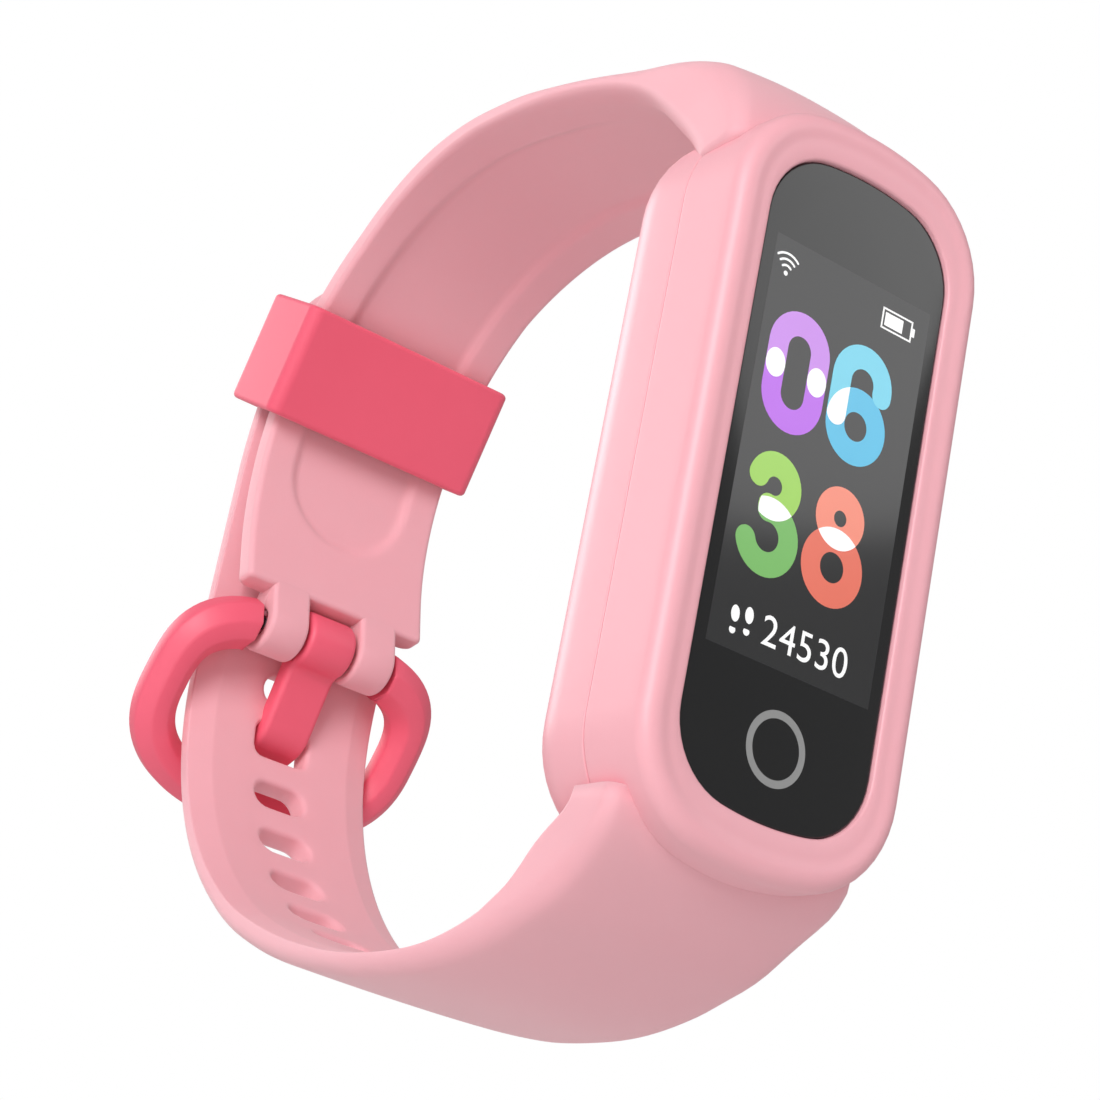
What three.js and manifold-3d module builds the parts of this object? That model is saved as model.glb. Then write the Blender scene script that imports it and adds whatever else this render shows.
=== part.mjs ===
// Fitness tracker band, fastened into a loop as it is worn.
// Millimetres. The origin is the middle of the wrist opening: +X runs across the band, to the
// right of someone reading the display, +Y from the display through the wrist to the buckle,
// and +Z up the display.
import * as THREE from 'three';
import { mergeVertices } from 'three/addons/utils/BufferGeometryUtils.js';
import Module from 'manifold-3d';

const wasm = await Module();
wasm.setup();

// ---------------------------------------------------------------- driving dimensions

// the pod, which is the tracker's case
const POD_WIDTH = 16.9;
const POD_LENGTH = 39.8;
const POD_DEPTH = 9.9;
const POD_BACK_Y = -17.2;
const POD_END_RADIUS = 18;
const POD_CORNER_RADIUS = 5;
const BEZEL_SIDE = 2.2;
const BEZEL_END = 2.7;
const FRAME_DEPTH = 4.6;
const FRAME_EDGE_RADIUS = 1.1;
const SHELL_EDGE_RADIUS = 3.2;
const SEAM_GAP = 0.2;
const CASE_WALL = 1.15;

// the rail on each end of the case that a strap's soft root is stretched over
const RAIL_NECK_HALF_WIDTH = 3.6;
const RAIL_NECK_HALF_DEPTH = 0.35;
const RAIL_NECK_RISE = 0.75;
const RAIL_HEAD_LIP = 0.4;
const RAIL_HEAD_RISE = 0.5;
const RAIL_FROM_EDGE = 1.2;
const RAIL_GAP = 0.2;

// the glass and what lies behind it
const GLASS_THICKNESS = 0.8;
const GLASS_EDGE_RADIUS = 0.15;
const GLASS_CORNER_RADIUS = 4;
const GLASS_RECESS = 0.35;
const GLASS_GAP = 0.2;
const LEDGE_WIDTH = 0.6;
const LEDGE_THICKNESS = 0.6;
const ADHESIVE_THICKNESS = 0.25;
const ADHESIVE_WIDTH = 0.5;
const DISPLAY_LENGTH = 23.4;
const DISPLAY_THICKNESS = 1.2;
const DISPLAY_Z = 1.35;
const TOUCH_KEY_Z = -13.4;
const TOUCH_PAD_RADIUS = 2.4;
const TOUCH_PAD_THICKNESS = 0.12;

// the electronics
const CARRIER_THICKNESS = 0.6;
const CARRIER_GAP = 0.4;
const BOARD_THICKNESS = 0.8;
const BOARD_INSET = 0.6;
const PROCESSOR_WIDTH = 6;
const PROCESSOR_LENGTH = 5;
const PROCESSOR_THICKNESS = 0.7;
const PROCESSOR_Z = 13;
const MOTION_CHIP_SIZE = 2.4;
const MOTION_CHIP_THICKNESS = 0.6;
const MOTION_CHIP_Z = -14.8;
const BATTERY_WIDTH = 11;
const BATTERY_LENGTH = 19;
const BATTERY_THICKNESS = 2.4;
const MOTOR_RADIUS = 1.4;
const MOTOR_LENGTH = 5;
const MOTOR_FROM_BATTERY = 1.2;
const MOTOR_FROM_BACK = 0.5;
const MOTOR_WEIGHT_LENGTH = 2.4;
const MOTOR_WEIGHT_GAP = 0.3;
const MOTOR_SHAFT_RADIUS = 0.28;
const MOTOR_SHAFT_GAP = 0.07;
const SENSOR_RADIUS = 3.8;
const SENSOR_RISE = 0.3;
const SENSOR_BOARD_WIDTH = 8.8;
const SENSOR_BOARD_LENGTH = 10;
const SENSOR_BOARD_THICKNESS = 0.5;
const CONTACT_RADIUS = 1;
const CONTACT_PITCH = 7;
const CONTACT_Z = -10;
const CONTACT_RISE = 0.1;
const CONTACT_TAIL = 0.4;
const SEAL_HALF_DEPTH = 0.5;
const SEAL_WIDTH = 0.25;
const STACK_GAP = 0.1;

// the straps
const STRAP_THICKNESS = 1.6;
const STRAP_CLASP_WIDTH = 12.9;
const STRAP_ROOT_OVERHANG = 0.15;
const ROOT_EXTRA = 1.2;
const ROOT_SWELL = 12;
const ROOT_TAPER_Y = -18;
const CLASP_TAPER_Y = 11.5;
const CLASP_RADIUS = 17.5;
const CROWN_RADIUS = 46;
const CROWN_RISE = 4.95;
const CROWN_START_DEPTH = 1;
const HEEL_RADIUS = 17.9;
const HEEL_ANGLE = 69;
const SOLE_RADIUS = 50;
const SOLE_DROP = 4.55;
const ARCH_RADIUS = 20;
const ARCH_ANGLE = 20;
const TAIL_TIP_ANGLE = 42;
const TAIL_TIP_ROUND = 5;
const CUP_SETBACK = 1.7;
const CUP_LAP = 2.7;
const CUP_WALL = 1;
const CUP_INNER_DEPTH = 4.1;
const LAYER_GAP = 0.3;
const HOLE_WIDTH = 3.5;
const HOLE_HEIGHT = 1.7;
const HOLE_PITCH = 3.5;
const HOLES_BELOW_TONGUE = 5;
const HOLES_ABOVE_TONGUE = 4;

// the buckle
const BAR_ABOVE_HEEL = 2.17;
const BAR_RADIUS = 0.75;
const BAR_BORE_RADIUS = 0.5;
const TIP_RADIUS = 0.38;
const TIP_TRAVEL = 1.9;
const TIP_GRIP = 1.8;
const SPRING_HALF_LENGTH = 0.9;
const TIP_SOCKET_GAP = 0.08;
const COIL_WIRE_RADIUS = 0.07;
const COIL_GAP = 0.05;
const COIL_TURNS = 5;
const KNUCKLE_RADIUS = 1.8;
const KNUCKLE_WIDTH = 2.65;
const KNUCKLE_STANDOFF = 0.4;
const NOTCH_GAP = 0.15;
const TONGUE_WIDTH = 3.3;
const TONGUE_THICKNESS = 1.4;
const TONGUE_LEAN = 19;
const TONGUE_HOOK_LEAN = 66;
const TONGUE_INNER_OFF = -0.55;
const TONGUE_ELBOW = 6.4;
const TONGUE_HOOK_LENGTH = 4.3;
const TONGUE_TIP_SHARE = 0.8;
const TONGUE_SLOT_GAP = 0.38;
const RING_LEAN = 28;
const RING_REACH = 12.2;
const RING_BAND = 2.5;
const RING_SIDE_GAP = 0.8;
const RING_THICKNESS = 2.6;
const RING_CHAMFER = 0.7;
const RING_MIDDLE = 5;
const RING_FULLNESS = 2.4;
const WINDOW_FULLNESS = 3.4;
const RING_ARM_WIDTH = 3.1;
const RING_ARM_SETBACK = 0.2;
const RING_TOP = 1.5;
const TURN_GAP = 0.25;

// the keeper
const KEEPER_ANGLE = 22;
const KEEPER_HEIGHT = 7;
const KEEPER_WALL = 0.85;
const KEEPER_GAP = 0.3;
const KEEPER_CORNER_RADIUS = 0.5;

// ---------------------------------------------------------------- derived places

const rad = THREE.MathUtils.degToRad;
const POD_FRONT_Y = POD_BACK_Y - POD_DEPTH;
const SEAM_Y = POD_FRONT_Y + FRAME_DEPTH;
const GLASS_WIDTH = POD_WIDTH - 2 * BEZEL_SIDE;
const GLASS_LENGTH = POD_LENGTH - 2 * BEZEL_END;
const GLASS_FRONT_Y = POD_FRONT_Y + GLASS_RECESS;
const GLASS_BACK_Y = GLASS_FRONT_Y + GLASS_THICKNESS;
const LEDGE_Y = GLASS_BACK_Y + ADHESIVE_THICKNESS + 2 * STACK_GAP;
const DISPLAY_WIDTH = GLASS_WIDTH - 2 * LEDGE_WIDTH - 3 * STACK_GAP;
const DISPLAY_FRONT_Y = GLASS_BACK_Y + TOUCH_PAD_THICKNESS + 2 * STACK_GAP;
const DISPLAY_BACK_Y = DISPLAY_FRONT_Y + DISPLAY_THICKNESS;
const CARRIER_FRONT_Y = DISPLAY_BACK_Y + STACK_GAP;
const CARRIER_BACK_Y = CARRIER_FRONT_Y + CARRIER_THICKNESS;
const BOARD_FRONT_Y = CARRIER_BACK_Y + STACK_GAP;
const BOARD_BACK_Y = BOARD_FRONT_Y + BOARD_THICKNESS;
const CAVITY_BACK_Y = POD_BACK_Y - CASE_WALL;
const BATTERY_BACK_Y = CAVITY_BACK_Y - SENSOR_BOARD_THICKNESS - 2 * STACK_GAP;
const BATTERY_FRONT_Y = BATTERY_BACK_Y - BATTERY_THICKNESS;
const RAIL_Y = POD_BACK_Y - SHELL_EDGE_RADIUS - RAIL_FROM_EDGE;
const STRAP_ROOT_WIDTH = POD_WIDTH + 2 * STRAP_ROOT_OVERHANG;
const CLASP_Z = POD_LENGTH / 2 + CROWN_RISE - CLASP_RADIUS;
const TAIL_RADIUS = CLASP_RADIUS + STRAP_THICKNESS + LAYER_GAP;
const SOLE_ANGLE = 90 - HEEL_ANGLE;
const CUP_FRONT_Y = POD_FRONT_Y + CUP_SETBACK;
const CUP_MOUTH_Z = POD_LENGTH / 2 - CUP_LAP;
const BAR_Y = TAIL_RADIUS - KNUCKLE_RADIUS - KNUCKLE_STANDOFF;
const KNUCKLE_REACH = TONGUE_WIDTH / 2 + TURN_GAP + KNUCKLE_WIDTH;
const BAR_HALF_LENGTH = KNUCKLE_REACH - TURN_GAP;
const RING_ARM_START = KNUCKLE_REACH + TURN_GAP;
const TIP_REACH = RING_ARM_START + TIP_GRIP;
const TIP_ROOT = TIP_TRAVEL + SPRING_HALF_LENGTH;
const RING_HALF_WIDTH = STRAP_CLASP_WIDTH / 2 + RING_SIDE_GAP + RING_BAND;
const soleRise = (SOLE_RADIUS - HEEL_RADIUS) * Math.sin(rad(HEEL_ANGLE));
const soleSetback = (SOLE_RADIUS - HEEL_RADIUS) * Math.cos(rad(HEEL_ANGLE));
const soleCentre = new THREE.Vector2(
  TAIL_RADIUS - HEEL_RADIUS - soleSetback,
  SOLE_RADIUS - SOLE_DROP - POD_LENGTH / 2,
);
const heelCentre = new THREE.Vector2(TAIL_RADIUS - HEEL_RADIUS, soleCentre.y - soleRise);
const BAR_Z = heelCentre.y + BAR_ABOVE_HEEL;
const clasp = new THREE.Vector2(0, CLASP_Z);
const bar = new THREE.Vector2(BAR_Y, BAR_Z);

// ---------------------------------------------------------------- materials

function material(color, roughness, metalness = 0) {
  return new THREE.MeshStandardMaterial({ color, roughness, metalness });
}

const PINK_SILICONE = () => material('#f2aab5', 0.6);
const PINK_CASE = () => material('#f6b4bf', 0.5);
const CORAL_PLASTIC = () => material('#ea4f6a', 0.45);
const DARK_GLASS = () => material('#2c2c2e', 0.08);
const BLACK_PLASTIC = () => material('#1c1c1e', 0.6);
const GREEN_BOARD = () => material('#1f5b3a', 0.5);
const STEEL = () => material('#c9ccd0', 0.25, 1);
const GOLD = () => material('#d9b25c', 0.25, 1);
const FOIL = () => material('#b9bcc0', 0.35, 0.8);
const ADHESIVE = () => material('#141416', 0.8);

// ---------------------------------------------------------------- solids

const group = new THREE.Group();

function toSolid(geometry) {
  const bare = geometry.clone();
  bare.deleteAttribute('normal');
  bare.deleteAttribute('uv');
  const merged = mergeVertices(bare, 1e-4);
  return new wasm.Manifold(new wasm.Mesh({
    numProp: 3,
    vertProperties: merged.attributes.position.array,
    triVerts: new Uint32Array(merged.index.array),
  }));
}

function toGeometry(solid) {
  const mesh = solid.getMesh();
  const geometry = new THREE.BufferGeometry();
  geometry.setAttribute('position', new THREE.BufferAttribute(mesh.vertProperties, 3));
  geometry.setIndex(new THREE.BufferAttribute(mesh.triVerts, 1));
  geometry.computeVertexNormals();
  return geometry;
}

function add(name, solid, finish) {
  const mesh = new THREE.Mesh(toGeometry(solid), finish);
  mesh.name = name;
  group.add(mesh);
}

// A box from its lowest to its highest corner.
function box(x0, x1, y0, y1, z0, z1) {
  const geometry = new THREE.BoxGeometry(x1 - x0, y1 - y0, z1 - z0);
  geometry.translate((x0 + x1) / 2, (y0 + y1) / 2, (z0 + z1) / 2);
  return toSolid(geometry);
}

// A flat slab on the centre plane: its width along X, its length along Z about a height.
function slab(width, length, y0, y1, z) {
  return box(-width / 2, width / 2, y0, y1, z - length / 2, z + length / 2);
}

// A round bar along X about the point (y, z).
function roundBar(radius, x0, x1, at, sides = 32) {
  const geometry = new THREE.CylinderGeometry(radius, radius, x1 - x0, sides);
  geometry.rotateZ(Math.PI / 2);
  geometry.translate((x0 + x1) / 2, at.x, at.y);
  return toSolid(geometry);
}

// A round disc along Y about the point (x, z).
function disc(radius, y0, y1, x, z, sides = 40) {
  const geometry = new THREE.CylinderGeometry(radius, radius, y1 - y0, sides);
  geometry.translate(x, (y0 + y1) / 2, z);
  return toSolid(geometry);
}

// A closed outline in (y, z), extruded from x0 to x1.
function acrossBand(shape, x0, x1, curveSegments = 12) {
  const geometry = new THREE.ExtrudeGeometry(shape, {
    depth: x1 - x0,
    bevelEnabled: false,
    curveSegments,
  });
  geometry.translate(0, 0, x0);
  const turn = new THREE.Matrix4();
  turn.makeBasis(new THREE.Vector3(0, 1, 0), new THREE.Vector3(0, 0, 1), new THREE.Vector3(1, 0, 0));
  return toSolid(geometry.applyMatrix4(turn));
}

// A closed outline in (x, z), from y0 at the front to y1 at the back, with both rims rounded.
function throughPod(shape, y0, y1, rounding = 0) {
  const geometry = new THREE.ExtrudeGeometry(shape, {
    depth: y1 - y0 - 2 * rounding,
    bevelEnabled: rounding > 0,
    bevelThickness: rounding,
    bevelSize: rounding,
    bevelOffset: -rounding,
    bevelSegments: 3,
    curveSegments: 6,
  });
  geometry.rotateX(Math.PI / 2);
  geometry.translate(0, y1 - rounding, 0);
  return toSolid(geometry);
}

// A long outline in (x, z): straight sides, rounded corners and gently arched ends.
function podOutline(width, length, endRadius, cornerRadius, inset = 0) {
  const halfWidth = width / 2 - inset;
  const halfLength = length / 2 - inset;
  const end = endRadius - inset;
  const corner = Math.max(cornerRadius - inset, 0.4);
  const endCentre = halfLength - end;
  const cornerX = halfWidth - corner;
  const cornerZ = endCentre + Math.sqrt((end - corner) ** 2 - cornerX ** 2);
  const meet = Math.atan2(cornerZ - endCentre, cornerX);
  const shape = new THREE.Shape();
  shape.absarc(cornerX, cornerZ, corner, 0, meet, false);
  shape.absarc(0, endCentre, end, meet, Math.PI - meet, false);
  shape.absarc(-cornerX, cornerZ, corner, Math.PI - meet, Math.PI, false);
  shape.absarc(-cornerX, -cornerZ, corner, Math.PI, Math.PI + meet, false);
  shape.absarc(0, -endCentre, end, Math.PI + meet, 2 * Math.PI - meet, false);
  shape.absarc(cornerX, -cornerZ, corner, -meet, 0, false);
  return shape;
}

const caseOutline = (inset) =>
  podOutline(POD_WIDTH, POD_LENGTH, POD_END_RADIUS, POD_CORNER_RADIUS, inset);
const glassOutline = (inset) =>
  podOutline(GLASS_WIDTH, GLASS_LENGTH, POD_END_RADIUS, GLASS_CORNER_RADIUS, inset);

// ---------------------------------------------------------------- the pod

// The whole case, grown by a clearance, as the strap roots wrap round it.
function podSpace(clearance) {
  const outline = caseOutline(-clearance);
  const rounding = SHELL_EDGE_RADIUS;
  const reach = POD_FRONT_Y - clearance;
  return throughPod(outline, reach - 2 * rounding, POD_BACK_Y + clearance, rounding);
}

// Front frame: a rounded bezel with a seat for the glass and an open back.
function frontFrame() {
  const front = throughPod(caseOutline(0), POD_FRONT_Y, SEAM_Y + 2 * FRAME_EDGE_RADIUS, FRAME_EDGE_RADIUS);
  const half = POD_LENGTH;
  const behindSeam = box(-half, half, SEAM_Y - SEAM_GAP / 2, SEAM_Y + half, -half, half);
  const seat = throughPod(glassOutline(-GLASS_GAP), POD_FRONT_Y - 1, LEDGE_Y);
  const window = throughPod(glassOutline(LEDGE_WIDTH), POD_FRONT_Y - 1, SEAM_Y + 1);
  const cavity = throughPod(caseOutline(CASE_WALL), LEDGE_Y + LEDGE_THICKNESS, SEAM_Y + 1);
  return front.subtract(behindSeam).subtract(seat).subtract(window).subtract(cavity);
}

// Mushroom rail on each end of the rear shell, which the soft strap root is stretched over.
function rail(side, clearance) {
  const root = POD_LENGTH / 2 - CASE_WALL / 2;
  const neckTop = POD_LENGTH / 2 + RAIL_NECK_RISE;
  const headTop = neckTop + RAIL_HEAD_RISE;
  const block = (lip, low, high) => {
    const bottom = side > 0 ? low : -high;
    const top = side > 0 ? high : -low;
    const w = RAIL_NECK_HALF_WIDTH + lip + clearance;
    const d = RAIL_NECK_HALF_DEPTH + lip + clearance;
    return box(-w, w, RAIL_Y - d, RAIL_Y + d, bottom, top);
  };
  const head = block(RAIL_HEAD_LIP, neckTop - clearance, headTop + clearance);
  return block(0, root, neckTop).add(head);
}

// Rear shell: a tub with a rounded back, a sensor window and two charging contact holes.
function rearShell() {
  const rounding = SHELL_EDGE_RADIUS;
  const inner = rounding - CASE_WALL;
  const tub = throughPod(caseOutline(0), SEAM_Y - 2 * rounding, POD_BACK_Y, rounding);
  const half = POD_LENGTH;
  const beforeSeam = box(-half, half, SEAM_Y - half, SEAM_Y + SEAM_GAP / 2, -half, half);
  const cavity = throughPod(caseOutline(CASE_WALL), SEAM_Y - 2 * inner - 1, CAVITY_BACK_Y, inner);
  let shell = tub.subtract(beforeSeam).subtract(cavity);
  shell = shell.subtract(disc(SENSOR_RADIUS + GLASS_GAP, CAVITY_BACK_Y - 1, POD_BACK_Y + 1, 0, 0));
  for (const side of [-1, 1]) {
    const x = side * CONTACT_PITCH / 2;
    const hole = disc(CONTACT_RADIUS + STACK_GAP, CAVITY_BACK_Y - 1, POD_BACK_Y + 1, x, CONTACT_Z, 24);
    shell = shell.subtract(hole).add(rail(side, 0));
  }
  return shell;
}

function buildPod() {
  add('front_frame', frontFrame(), PINK_CASE());
  add('rear_shell', rearShell(), PINK_CASE());

  const glass = throughPod(glassOutline(0), GLASS_FRONT_Y, GLASS_BACK_Y, GLASS_EDGE_RADIUS);
  add('cover_glass', glass, DARK_GLASS());

  const tapeFront = GLASS_BACK_Y + STACK_GAP;
  const tapeInset = LEDGE_WIDTH - ADHESIVE_WIDTH;
  const tape = throughPod(glassOutline(tapeInset), tapeFront, tapeFront + ADHESIVE_THICKNESS);
  const tapeWindow = throughPod(glassOutline(LEDGE_WIDTH), tapeFront - 1, LEDGE_Y + 1);
  add('glass_adhesive', tape.subtract(tapeWindow), ADHESIVE());

  const display = slab(DISPLAY_WIDTH, DISPLAY_LENGTH, DISPLAY_FRONT_Y, DISPLAY_BACK_Y, DISPLAY_Z);
  add('display_panel', display, BLACK_PLASTIC());
  const padBack = tapeFront + TOUCH_PAD_THICKNESS;
  add('touch_pad', disc(TOUCH_PAD_RADIUS, tapeFront, padBack, 0, TOUCH_KEY_Z), GOLD());

  const fit = CASE_WALL + CARRIER_GAP;
  add('carrier_plate', throughPod(caseOutline(fit), CARRIER_FRONT_Y, CARRIER_BACK_Y), BLACK_PLASTIC());
  const board = throughPod(caseOutline(fit + BOARD_INSET), BOARD_FRONT_Y, BOARD_BACK_Y);
  add('main_board', board, GREEN_BOARD());

  const chipFront = BOARD_BACK_Y + STACK_GAP / 2;
  const processorBack = chipFront + PROCESSOR_THICKNESS;
  const processor = slab(PROCESSOR_WIDTH, PROCESSOR_LENGTH, chipFront, processorBack, PROCESSOR_Z);
  add('processor_chip', processor, BLACK_PLASTIC());
  const motionBack = chipFront + MOTION_CHIP_THICKNESS;
  const motionChip = slab(MOTION_CHIP_SIZE, MOTION_CHIP_SIZE, chipFront, motionBack, MOTION_CHIP_Z);
  add('motion_sensor_chip', motionChip, BLACK_PLASTIC());

  add('battery', slab(BATTERY_WIDTH, BATTERY_LENGTH, BATTERY_FRONT_Y, BATTERY_BACK_Y, 0), FOIL());

  const sensorBack = CAVITY_BACK_Y - STACK_GAP;
  const sensorFront = sensorBack - SENSOR_BOARD_THICKNESS;
  const sensorBoard = slab(SENSOR_BOARD_WIDTH, SENSOR_BOARD_LENGTH, sensorFront, sensorBack, 0);
  add('sensor_board', sensorBoard, GREEN_BOARD());
  const lens = disc(SENSOR_RADIUS, CAVITY_BACK_Y, POD_BACK_Y + SENSOR_RISE, 0, 0);
  add('sensor_window', lens, DARK_GLASS());

  for (const [side, end] of [[-1, 'left'], [1, 'right']]) {
    const x = side * CONTACT_PITCH / 2;
    const front = CAVITY_BACK_Y - CONTACT_TAIL;
    const contact = disc(CONTACT_RADIUS, front, POD_BACK_Y + CONTACT_RISE, x, CONTACT_Z, 24);
    add(`charging_contact_${end}`, contact, GOLD());
  }

  const sealInset = CASE_WALL + STACK_GAP;
  const sealFront = SEAM_Y - SEAL_HALF_DEPTH;
  const sealBack = SEAM_Y + SEAL_HALF_DEPTH;
  const seal = throughPod(caseOutline(sealInset), sealFront, sealBack);
  const sealBore = throughPod(caseOutline(sealInset + SEAL_WIDTH), sealFront - 1, sealBack + 1);
  add('case_seal', seal.subtract(sealBore), ADHESIVE());
}

// Vibration motor, lying across the case with its half-round weight on one end of the shaft.
function buildMotor() {
  const y = CAVITY_BACK_Y - MOTOR_RADIUS - MOTOR_FROM_BACK;
  const at = new THREE.Vector2(y, BATTERY_LENGTH / 2 + MOTOR_RADIUS + MOTOR_FROM_BATTERY);
  const canEnd = MOTOR_LENGTH / 5;
  const can = roundBar(MOTOR_RADIUS, canEnd - MOTOR_LENGTH, canEnd, at, 28);
  const bearing = roundBar(MOTOR_SHAFT_RADIUS + MOTOR_SHAFT_GAP, 0, canEnd + 1, at, 16);
  add('motor_can', can.subtract(bearing), STEEL());

  const weightStart = canEnd + MOTOR_WEIGHT_GAP;
  const weightEnd = weightStart + MOTOR_WEIGHT_LENGTH;
  const shaft = roundBar(MOTOR_SHAFT_RADIUS, MOTOR_WEIGHT_GAP, weightEnd, at, 16);
  const weight = roundBar(MOTOR_RADIUS - STACK_GAP, weightStart, weightEnd, at, 28);
  const far = 2 * MOTOR_RADIUS;
  const lightSide = box(canEnd, weightEnd + 1, at.x - far, at.x + far, at.y + MOTOR_SHAFT_RADIUS, at.y + far);
  add('motor_weight', shaft.add(weight.subtract(lightSide)), STEEL());
}

// ---------------------------------------------------------------- the straps

// Points along a path in (y, z), with a thickness laid off on the path's left or right side.
function strip(path, steps, side, thicknessAt) {
  const length = path.getLength();
  const inner = [];
  const outer = [];
  for (let i = 0; i <= steps; i += 1) {
    const point = path.getPointAt(i / steps);
    const along = path.getTangentAt(i / steps);
    const out = new THREE.Vector2(-along.y, along.x).multiplyScalar(side);
    inner.push(point);
    outer.push(point.clone().addScaledVector(out, thicknessAt(length * i / steps)));
  }
  return new THREE.Shape([...inner, ...outer.reverse()]);
}

// A strap's thickness, which swells towards its root.
function thicknessAt(distance) {
  const fade = Math.max(0, 1 - distance / ROOT_SWELL);
  return STRAP_THICKNESS + ROOT_EXTRA * fade * fade;
}

// Both straps narrow from the pod to the clasp, seen along Z.
function taper() {
  const root = STRAP_ROOT_WIDTH / 2;
  const end = STRAP_CLASP_WIDTH / 2;
  const front = POD_FRONT_Y - 5;
  const back = TAIL_RADIUS + 20;
  const outline = new THREE.Shape([
    new THREE.Vector2(-root, front),
    new THREE.Vector2(root, front),
    new THREE.Vector2(root, ROOT_TAPER_Y),
    new THREE.Vector2(end, CLASP_TAPER_Y),
    new THREE.Vector2(end, back),
    new THREE.Vector2(-end, back),
    new THREE.Vector2(-end, CLASP_TAPER_Y),
    new THREE.Vector2(-root, ROOT_TAPER_Y),
  ]);
  const depth = 3 * POD_LENGTH;
  const geometry = new THREE.ExtrudeGeometry(outline, { depth, bevelEnabled: false });
  geometry.translate(0, 0, -depth / 2);
  return toSolid(geometry);
}

// The cup that wraps one end of the pod: its front edge stands just behind the frame's rim.
function cup(side, edge, heel, bend, inside) {
  const shape = new THREE.Shape();
  shape.moveTo(CUP_FRONT_Y, side * CUP_MOUTH_Z);
  shape.lineTo(CUP_FRONT_Y, side * edge);
  shape.quadraticCurveTo(bend.x, side * bend.y, heel[0].x, side * heel[0].y);
  shape.lineTo(heel[1].x, side * heel[1].y);
  shape.quadraticCurveTo(inside.x, side * inside.y, POD_BACK_Y - CUP_INNER_DEPTH, side * CUP_MOUTH_Z);
  return acrossBand(shape, -STRAP_ROOT_WIDTH / 2, STRAP_ROOT_WIDTH / 2, 8);
}

// Where the upper strap leaves its curve for the straight run to the knuckles, whose inner
// side it is flush with.
const knuckleFlush = KNUCKLE_RADIUS - STACK_GAP / 2;
const barReach = bar.clone().sub(clasp);
const leave = barReach.angle() - 2 * Math.PI + Math.acos((CLASP_RADIUS + knuckleFlush) / barReach.length());

// Inner face of the upper strap, from the pod over the crown and down to the bar.
const crownCentre = CLASP_Z + CLASP_RADIUS - CROWN_RADIUS;
const crownSweep = Math.asin((CROWN_START_DEPTH - POD_BACK_Y) / CROWN_RADIUS);
function upperPath() {
  const path = new THREE.Path();
  path.absarc(0, crownCentre, CROWN_RADIUS, Math.PI / 2 + crownSweep, Math.PI / 2, true);
  path.absarc(clasp.x, clasp.y, CLASP_RADIUS, Math.PI / 2, leave, true);
  const out = new THREE.Vector2(Math.cos(leave), Math.sin(leave));
  const end = bar.clone().addScaledVector(out, -knuckleFlush);
  path.lineTo(end.x, end.y);
  return path;
}

// Inner face of the lower strap, from the pod under the wrist and up the outside of the clasp.
function lowerPath() {
  const path = new THREE.Path();
  const archZ = soleCentre.y - SOLE_RADIUS + ARCH_RADIUS;
  const down = -Math.PI / 2;
  path.absarc(soleCentre.x, archZ, ARCH_RADIUS, down - rad(ARCH_ANGLE), down, false);
  path.absarc(soleCentre.x, soleCentre.y, SOLE_RADIUS, down, down + rad(SOLE_ANGLE), false);
  path.absarc(heelCentre.x, heelCentre.y, HEEL_RADIUS, -rad(HEEL_ANGLE), 0, false);
  path.lineTo(TAIL_RADIUS, CLASP_Z);
  path.absarc(clasp.x, clasp.y, TAIL_RADIUS, 0, rad(TAIL_TIP_ANGLE), false);
  return path;
}

function upperStrap() {
  let strap = acrossBand(strip(upperPath(), 44, 1, thicknessAt), -STRAP_ROOT_WIDTH / 2, STRAP_ROOT_WIDTH / 2);
  const start = upperPath().getPointAt(0);
  const along = upperPath().getTangentAt(0);
  const rootDepth = thicknessAt(0);
  const top = start.clone().add(new THREE.Vector2(-along.y, along.x).multiplyScalar(rootDepth));
  const edge = POD_LENGTH / 2 + CUP_WALL;
  strap = strap.add(cup(1, edge, [top, start], new THREE.Vector2(CUP_FRONT_Y + 2.6, top.y - 0.4),
    new THREE.Vector2(start.x - 1.6, start.y - 0.9)));
  strap = strap.intersect(taper()).add(roundBar(KNUCKLE_RADIUS, -KNUCKLE_REACH, KNUCKLE_REACH, bar));

  const notchTop = BAR_Z + KNUCKLE_RADIUS + NOTCH_GAP;
  const far = KNUCKLE_RADIUS + 2;
  const notch = (x0, x1) => box(x0, x1, BAR_Y - far, BAR_Y + far, BAR_Z - far, notchTop);
  const slot = TONGUE_WIDTH / 2 + TURN_GAP;
  strap = strap.subtract(notch(-slot, slot));
  strap = strap.subtract(notch(KNUCKLE_REACH, STRAP_ROOT_WIDTH));
  strap = strap.subtract(notch(-STRAP_ROOT_WIDTH, -KNUCKLE_REACH));
  strap = strap.subtract(roundBar(BAR_RADIUS + STACK_GAP, -STRAP_ROOT_WIDTH, STRAP_ROOT_WIDTH, bar));
  return strap.subtract(podSpace(LAYER_GAP)).subtract(rail(1, RAIL_GAP));
}

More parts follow.
